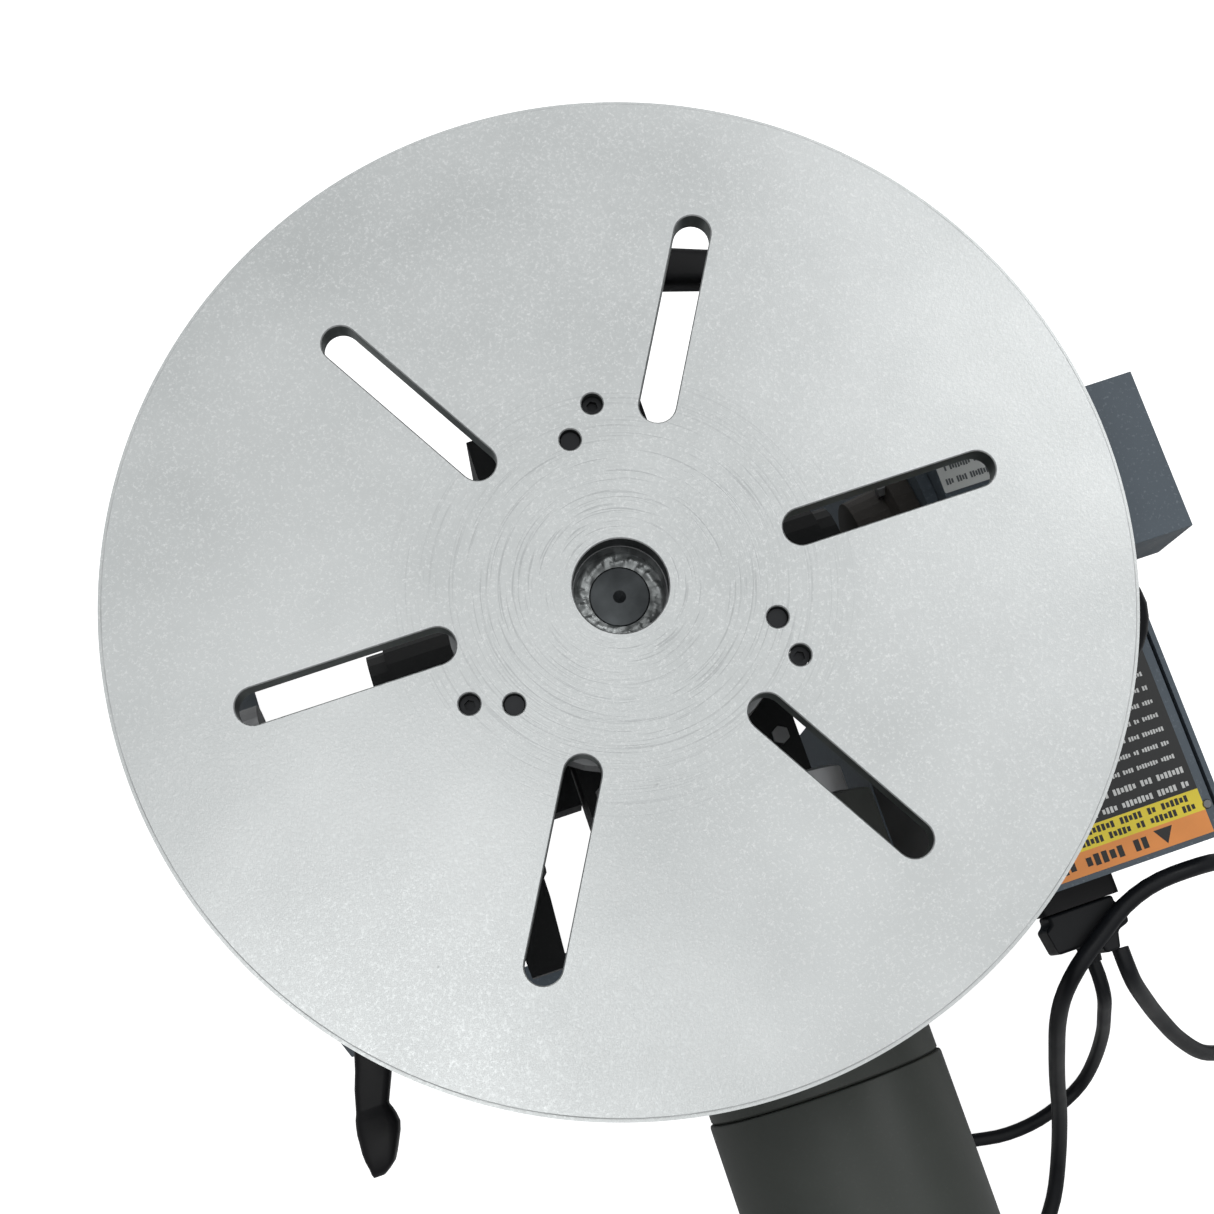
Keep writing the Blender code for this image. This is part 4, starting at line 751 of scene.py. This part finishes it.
def add_motor(materials):
    olive = materials["olive_grey_paint"]
    at, radius, front, rear = axis_along_y("gearhead_housing")
    profile = [(43 * MM, rear), (43 * MM, front + 6 * MM), (0, front + 6 * MM), (0, front),
               (radius - 2 * MM, front), (radius - 0.6 * MM, front + 0.6 * MM),
               (radius, front + 2 * MM), (radius, rear - 4 * MM)]
    profile += rear_corner(radius, rear, 4 * MM, (30, 60)) + [(radius - 4 * MM, rear)]
    gearhead = piece("gearhead", turned(profile, 128, "Y", at), olive, "tilt",
                     ["gearhead_housing"])
    cut(gearhead, rod(PINION_ROOM, front - MM, front + 8 * MM, 32, "Y", (PINION_PLACE, at[1])))

    at, radius, front, rear = axis_along_y("motor_front_bell")
    room = radius - MOTOR_WALL
    profile = [(SHAFT_ROOM, front), (radius - 0.6 * MM, front), (radius, front + 0.6 * MM),
               (radius, rear - 0.8 * MM), (radius - 0.8 * MM, rear), (room, rear), (room, front + 10 * MM),
               (SHAFT_ROOM, front + 10 * MM)]
    piece("front_bell", turned(profile, 128, "Y", at), olive, "tilt",
          ["motor_front_bell"])

    at, radius, front, rear = axis_along_y("motor_tube")
    room = radius - MOTOR_WALL
    profile = [(room, front), (radius - 1.0 * MM, front), (radius - 0.3 * MM, front + 0.35 * MM),
               (radius, front + 1.2 * MM), (radius, rear - 0.8 * MM), (radius - 0.8 * MM, rear), (room, rear)]
    piece("motor_body", turned(profile, 160, "Y", at), olive, "tilt", ["motor_tube"])

    at, radius, front, rear = axis_along_y("motor_end_cap")
    profile = [(0, front + 8 * MM), (SHAFT_ROOM, front + 8 * MM), (SHAFT_ROOM, front),
               (radius - 0.5 * MM, front), (radius, front + 0.5 * MM), (radius, rear - 5 * MM)]
    profile += rear_corner(radius, rear, 5 * MM, (22, 45, 68, 90))
    profile += [(radius - 14 * MM, rear), (radius - 15 * MM, rear - 1.2 * MM), (16 * MM, rear - 1.2 * MM),
                (15 * MM, rear), (0, rear)]
    piece("end_cap", turned(profile, 128, "Y", at), olive, "tilt", ["motor_end_cap"])
    screws = []
    for angle in CORNER_ANGLES:
        u, v = polar(END_SCREW_RING, angle)
        profile = [(0, rear - 1.5 * MM), (4 * MM, rear - 1.5 * MM), (4 * MM, rear - 0.3 * MM),
                   (3.2 * MM, rear), (0, rear)]
        screws.append(turned(profile, 6, "Y", (at[0] + u, at[1] + v)))
    piece("end_cap_screws", merge(screws), materials["dark_steel"], "tilt", smooth=20)

    at, radius, front, rear = axis_along_y("adapter_flange")
    profile = [(0, front), (radius - MM, front), (radius, front + MM), (radius, rear - MM),
               (radius - MM, rear), (0, rear)]
    flange = piece("adapter", turned(profile, 96, "Y", at), materials["aluminium"], "tilt",
                   ["adapter_flange"])
    cut(flange, rod(PINION_ROOM, front - MM, rear + MM, 32, "Y", (PINION_PLACE, at[1])))


# ---- tilt lock and hand grip ----

LEVER_STATIONS = (          # distance along, sideways shift, half width, drop and half height, in mm
    (2, 0, 6.5, 0, 6.0), (20, -3.5, 7.2, 1, 6.5), (40, -8.6, 7.8, 1, 7), (58, -11.2, 8.0, 2, 6.5),
    (72, -10.4, 7.9, 2, 6.5), (80, -8.2, 7.8, 2, 6.3), (87, -5.6, 7.6, 2, 6), (95.5, -2.8, 6.8, 2, 6),
    (96.5, -2.6, 6.9, 2, 6.1), (98.6, -2.6, 7.7, 2, 7.4), (101, -2.7, 8.3, 1.8, 8.0),
    (104.5, -2.7, 8.8, 1.5, 8.4), (108, -2.2, 8.3, 1.2, 8.8), (112, -1.2, 7.4, 1, 8.8),
    (115.5, -0.5, 6.4, 0.8, 8.3), (118.5, 0.0, 5.2, 0.5, 7.5), (121, 1.4, 3.6, 0.2, 5.8),
    (122.5, 2.4, 2.2, 0, 3.5))
LEVER_HUB_LENGTH = 16 * MM
STUD_ROOM = 5.3 * MM
BAR_ROUTE = [(-4, -100, 225), (-4, -112, 225), (-4, -126, 225), (-4, -140, 225), (-6, -152, 225),
             (-12, -164, 225), (-22, -171, 225), (-34, -172.5, 225), (-50, -167, 225)]
BAR_RADIUS = 6 * MM
GRIP_START = (-50.3, -166.9, 225)
GRIP_STATIONS = (           # distance along, half width and half height, in mm
    (0, 7.4, 7.0), (1.2, 8.2, 7.6), (5, 9.8, 8.5), (38, 8.9, 8.0), (72, 8.1, 7.2), (80, 5.8, 5.2),
    (84, 2.5, 2.5))


def add_lock_lever(materials):
    _, y, z = middle_of("lock_stud")
    hub_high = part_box("tilt_quadrant")[1].x - 5.3 * MM
    hub_low = hub_high - LEVER_HUB_LENGTH
    x = (hub_low + hub_high) / 2
    sections = []
    for distance, shift, half, drop, tall in LEVER_STATIONS:
        centre = Vector((x + shift * MM, y + distance * MM, z - drop * MM))
        outline = soft_outline(half, tall, 0.5, 4)
        sections.append([centre + Vector((u * MM, 0, v * MM)) for u, v in outline])
    profile = [(0, hub_low), (8.6 * MM, hub_low), (10 * MM, hub_low + 1.4 * MM),
               (10 * MM, hub_high - 0.6 * MM), (9.4 * MM, hub_high), (STUD_ROOM, hub_high),
               (STUD_ROOM, hub_low + 6 * MM), (0, hub_low + 6 * MM)]
    hub = turned(profile, 48, "X", (y, z))
    piece("lever_blade", merge([loft(sections), hub]), materials["black_plastic"], "lever",
          ["lock_lever"], bevel=0.5 * MM, smooth=35)


def add_hand_bar(materials):
    bar = cord_curve("hand_rod", smooth_route(scaled(BAR_ROUTE), 3 * MM), BAR_RADIUS,
                     materials["black_paint"])
    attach(bar, "tilt")
    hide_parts("hand_bar")
    start = Vector(GRIP_START) * MM
    along = Vector((-0.944, 0.33, 0))
    across = Vector((0.33, 0.944, 0))
    sections = []
    for distance, half, tall in GRIP_STATIONS:
        centre = start + along * distance * MM
        sections.append([centre + across * u * MM + Vector((0, 0, v * MM))
                         for u, v in soft_outline(half, tall, 0.6, 5)])
    piece("bar_grip", loft(sections), materials["black_plastic"], "tilt", ["hand_grip"],
          smooth=40)


# ---- power box ----

PRINT_HEIGHT = 0.09 * MM


def tick_row(start, end, y, tall, stroke, seed, low):
    """A row of plain upright ticks in word-like groups, with no letters in it."""
    made = []
    x = start
    step = 0
    while x < end:
        group = 2 + (seed * 5 + step * 3) % 7
        for i in range(group):
            if x > end:
                break
            lift = 0.0 if (i + step + seed) % 3 else 0.25 * tall
            made.append(block((x, y + lift * 0.5, low),
                              (x + stroke, y + tall - lift * 0.5, low + PRINT_HEIGHT)))
            x += stroke * 1.45
        x += stroke * 1.6
        step += 1
    return made


SHEET = 0.15 * MM               # how far a label stands proud
YELLOW_FRONT, ORANGE_FRONT, LABEL_REAR = 142 * MM, 152 * MM, 162.4 * MM
TEXT_ROWS = 12
TEXT_TOP, TEXT_PITCH = 137.2 * MM, 6.6 * MM
BOLD_ROWS = 2
LARGE_ROWS = ((4, 147.6, 3.0, 1.5, 3), (6, 143.2, 3.0, 1.5, 5),
              (30, 154.6, 5.2, 2.6, 7))     # start, place along Y, height, stroke in mm, and seed
LARGE_ROWS_END = 84 * MM
GLAND_PLACE = (-180 * MM, 88 * MM)


def add_power_box(materials):
    low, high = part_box("power_box_lid")
    top = high.z
    print_low = top + SHEET
    left = low.x + 4.2 * MM
    right = high.x - 0.6 * MM
    bands = (("label_black", low.y + 4 * MM, YELLOW_FRONT), ("label_yellow", YELLOW_FRONT, ORANGE_FRONT),
             ("label_orange", ORANGE_FRONT, LABEL_REAR))
    for name, front, rear in bands:
        piece(name, block((left, front, top), (right, rear, print_low)), materials[name], "base")
    ticks = []
    for row in range(TEXT_ROWS):
        inset, tall, stroke = (3, 2.8, 1.3) if row < BOLD_ROWS else (4.5, 2.0, 0.9)
        ticks += tick_row(left + inset * MM, left + 78 * MM, TEXT_TOP - row * TEXT_PITCH, tall * MM,
                          stroke * MM, row, print_low)
    piece("label_lines", merge(ticks), materials["label_white"], "base")
    marks = []
    for start, y, tall, stroke, seed in LARGE_ROWS:
        marks += tick_row(left + start * MM, left + LARGE_ROWS_END, y * MM, tall * MM, stroke * MM, seed,
                          print_low)
    triangle = [(left + 17 * MM, 153.6 * MM), (left + 26 * MM, 153.6 * MM), (left + 21.5 * MM, 160.8 * MM)]
    marks.append(extrude_outline(triangle, [], print_low, top + 1.6 * SHEET))
    piece("label_marks", merge(marks), materials["label_ink"], "base")
    profile = [(0, top), (2.2 * MM, top), (1.8 * MM, top + 0.9 * MM), (0, top + 1.1 * MM)]
    screws = [turned(profile, 20, centre=(low.x + 2.6 * MM, y)) for y in (60 * MM, 150 * MM)]
    piece("lid_screws", merge(screws), materials["dark_steel"], "base")
    profile = [(4.3 * MM, top), (9.5 * MM, top), (9.5 * MM, top + 3 * MM), (8 * MM, top + 3.6 * MM),
               (7.4 * MM, top + 6.6 * MM), (4.3 * MM, top + 7 * MM)]
    piece("lid_gland", turned(profile, 40, centre=GLAND_PLACE), materials["black_plastic"], "base")


# ---- control housing ----

HOUSING_WALL = 1.5 * MM
ROCKER_PLACES = (-216 * MM, -192 * MM)
BEZEL_HALF = (7.8 * MM, 13 * MM)
BEZEL_ROOM = (5.7 * MM, 10.8 * MM)
ROCKER_ROOM = (5.8 * MM, 9.3 * MM)
CABLE_ARCH = (-211 * MM, 15 * MM)       # X of its middle, and its radius
KNOB_PLACE = -165 * MM
SPEED_MARKS = 11


def corners_about(x, z, half):
    """The corners of a rectangle of this half width and half height about a place."""
    return x - half[0], z - half[1], x + half[0], z + half[1]


def add_control_housing(materials):
    low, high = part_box("control_housing")
    middle = (low.z + high.z) / 2
    wall = HOUSING_WALL
    shell = piece("housing_shell", block(low, high), materials["slate_paint"], "base",
                  ["control_housing"], bevel=2.0 * MM, smooth=30, segments=3)
    cut(shell, block((low.x + wall, low.y + wall, low.z - MM), (high.x - wall, high.y - wall, high.z - wall)))
    arch_place, arch_radius = CABLE_ARCH
    cut(shell, rod(arch_radius, high.y - 2 * wall, high.y + MM, 48, "Y", (arch_place, low.z - 2 * MM)))
    for x in ROCKER_PLACES:
        x0, z0, x1, z1 = corners_about(x, middle, ROCKER_ROOM)
        cut(shell, block((x0, low.y - MM, z0), (x1, low.y + 3 * MM, z1)))
        outer = rounded_rectangle(*corners_about(x, middle, BEZEL_HALF), 1.4 * MM)
        inner = rounded_rectangle(*corners_about(x, middle, BEZEL_ROOM), 0.5 * MM)
        bezel = extrude_outline(outer, [inner], low.y - 1.2 * MM, low.y, "Y")
        piece(f"rocker_bezel_{round(-x / MM)}", bezel, materials["black_plastic"], "base",
              bevel=0.3 * MM)
    cut(shell, rod(3.5 * MM, low.y - MM, low.y + 3 * MM, 24, "Y", (KNOB_PLACE, middle)))
    print_low = high.z + SHEET
    plate = rounded_rectangle(-168 * MM, -18 * MM, high.x - 0.4 * MM, -4 * MM, 0.8 * MM)
    piece("housing_plate", extrude_outline(plate, [], high.z, print_low), materials["plate_grey"], "base")
    text = []
    for inset, y, seed in ((4, -15.6, 2), (3, -9.6, 4)):
        text += tick_row(-166 * MM, high.x - inset * MM, y * MM, 2.6 * MM, 0.8 * MM, seed, print_low)
    piece("plate_lines", merge(text), materials["label_grey"], "base")
    dots = []
    for i in range(SPEED_MARKS):
        u, v = polar(15.5 * MM, 225 - 27 * i)
        dots.append(rod(0.8 * MM, low.y - SHEET, low.y, 14, "Y", (KNOB_PLACE + u, middle + v)))
    piece("speed_scale", merge(dots), materials["label_white"], "base")


KNOB_PROFILE = (            # radius and place along Y from the housing's face, in mm
    (3, -1.5), (10.6, -1.5), (11, -2.2), (9.8, -15.4), (8.8, -17), (0.01, -17))


def add_knob(materials):
    x, z = KNOB_PLACE, middle_of("speed_knob")[2]
    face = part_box("control_housing")[0].y
    count = 72
    shape = bmesh.new()
    rows = [[shape.verts.new((x + u, face + 6 * MM, z + v)) for u, v in circle(3 * MM, count)]]
    for radius, along in KNOB_PROFILE:
        row = []
        for i in range(count):
            grip = 0.4 if 9 < radius < 11 and i % 4 < 2 else 0.0
            u, v = polar((radius - grip) * MM, 360 * i / count)
            row.append(shape.verts.new((x + u, face + along * MM, z + v)))
        rows.append(row)
    bridge(shape, rows)
    shape.faces.new(rows[0])
    shape.faces.new(rows[-1])
    bmesh.ops.recalc_face_normals(shape, faces=shape.faces[:])
    piece("knob_grip", shape, materials["black_plastic"], "knob", ["speed_knob"], smooth=40)
    pointer = block((x - 0.7 * MM, face - 17.4 * MM, z + MM), (x + 0.7 * MM, face - 16.9 * MM, z + 8.2 * MM))
    piece("knob_line", pointer, materials["label_white"], "knob")


# ---- connectors ----

PLUG_PLAN = [(-183, 0), (-183, 4), (-186, 4), (-186, 14), (-180, 16), (-178, 24), (-171, 24), (-168, 15),
             (-162, 18), (-150, 18), (-148, 6), (-151, 4), (-151, 0)]
PEDAL_GROOVES = 6


def add_connectors(materials):
    made = {}
    rubber, plastic = materials["black_rubber"], materials["black_plastic"]
    low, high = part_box("mains_inlet")
    outline = rounded_rectangle(low.x, low.z, high.x, high.z, 3 * MM)
    piece("inlet_frame", extrude_outline(outline, [], low.y, high.y, "Y"), plastic, "base",
          ["mains_inlet"], bevel=1.1 * MM)
    start = high.y + 0.3 * MM
    low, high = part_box("appliance_plug")
    shape = extrude_outline([(x * MM, start + y * MM) for x, y in PLUG_PLAN], [], low.z, high.z)
    made["appliance_plug"] = piece("plug_body", shape, rubber, "base", ["appliance_plug"],
                                   bevel=1.4 * MM, segments=3)
    at, _, back, end = axis_along_y("pedal_plug")
    profile = [(0, back), (11 * MM, back), (11 * MM, back + 6.2 * MM), (10.2 * MM, back + 7 * MM),
               (9 * MM, back + 8 * MM)]
    for i in range(PEDAL_GROOVES):
        y = back + (9.5 + 2.4 * i) * MM
        profile += [(9 * MM, y), (8.4 * MM, y + 0.4 * MM), (8.4 * MM, y + 0.9 * MM), (9 * MM, y + 1.3 * MM)]
    profile += [(9 * MM, back + 24 * MM), (6 * MM, back + 27 * MM), (5.2 * MM, back + 32 * MM),
                (4.3 * MM, end), (0, end)]
    made["pedal_plug"] = piece("pedal_plug_body", turned(profile, 48, "Y", at), rubber, "base",
                               ["pedal_plug"], smooth=28)
    low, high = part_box("mains_plug")
    outline = rounded_rectangle(low.x, low.y, high.x, high.y, 6 * MM, 6)
    made["mains_plug"] = piece("mains_plug_body", extrude_outline(outline, [], low.z, high.z), rubber, "base",
                               ["mains_plug"], bevel=3 * MM, segments=3)
    at, _, back, end = axis_along_y("pedal_connector")
    profile = [(0, back), (7 * MM, back), (8 * MM, back + MM), (8 * MM, back + 18 * MM),
               (7.2 * MM, back + 19 * MM), (5.4 * MM, end - 2 * MM), (4.4 * MM, end), (0, end)]
    made["pedal_connector"] = piece("pedal_connector_body", turned(profile, 40, "Y", at), rubber, "base",
                                    ["pedal_connector"])
    return made


# ---- small fasteners ----

TILT_HEIGHT = 240 * MM


def add_bearing_bolts(materials, side, ring, width, start, end):
    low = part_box("flange_bearing_" + side)[0].x
    bolts = []
    for angle in CORNER_ANGLES:
        u, v = polar(ring, angle)
        outline = shifted(hexagon(width), u, TILT_HEIGHT + v)
        bolts.append(extrude_outline(outline, [], low + start, low + end, "X"))
    piece(side + "_bearing_bolts", merge(bolts), materials["dark_steel"], "base",
          bevel=0.3 * MM)


def add_fasteners(materials):
    add_bearing_bolts(materials, "right", 28 * MM, 8 * MM, 7 * MM, 12 * MM)
    add_bearing_bolts(materials, "left", 29.2 * MM, 6 * MM, 9 * MM, 13 * MM)
    low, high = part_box("gearbox_cover")
    top = high.z - 10 * MM
    bolts = []
    for x in (low.x + 8 * MM, high.x - 8 * MM):
        for y in (-46 * MM, 0.0, 66 * MM):
            bolts.append(extrude_outline(shifted(hexagon(7 * MM), x, y), [], top, top + 3.6 * MM))
    piece("cover_bolts", merge(bolts), materials["dark_steel"], "tilt", bevel=0.3 * MM)


def dress_nodes(materials):
    """Give each CAD node the finish of its record slot."""
    for entry in frame["record"]["subparts"]:
        mesh = nodes[entry["node"]].data
        mesh.materials.clear()
        mesh.materials.append(materials[entry["material_slot"]])


materials = make_materials()
add_camera()
add_studio()
connectors = add_connectors(materials)
add_mains_lead(materials)
add_pedal_lead(materials)
add_control_cable(materials)
dress_nodes(materials)
add_table(materials)
add_motor(materials)
add_lock_lever(materials)
add_hand_bar(materials)
add_power_box(materials)
add_control_housing(materials)
add_knob(materials)
add_fasteners(materials)
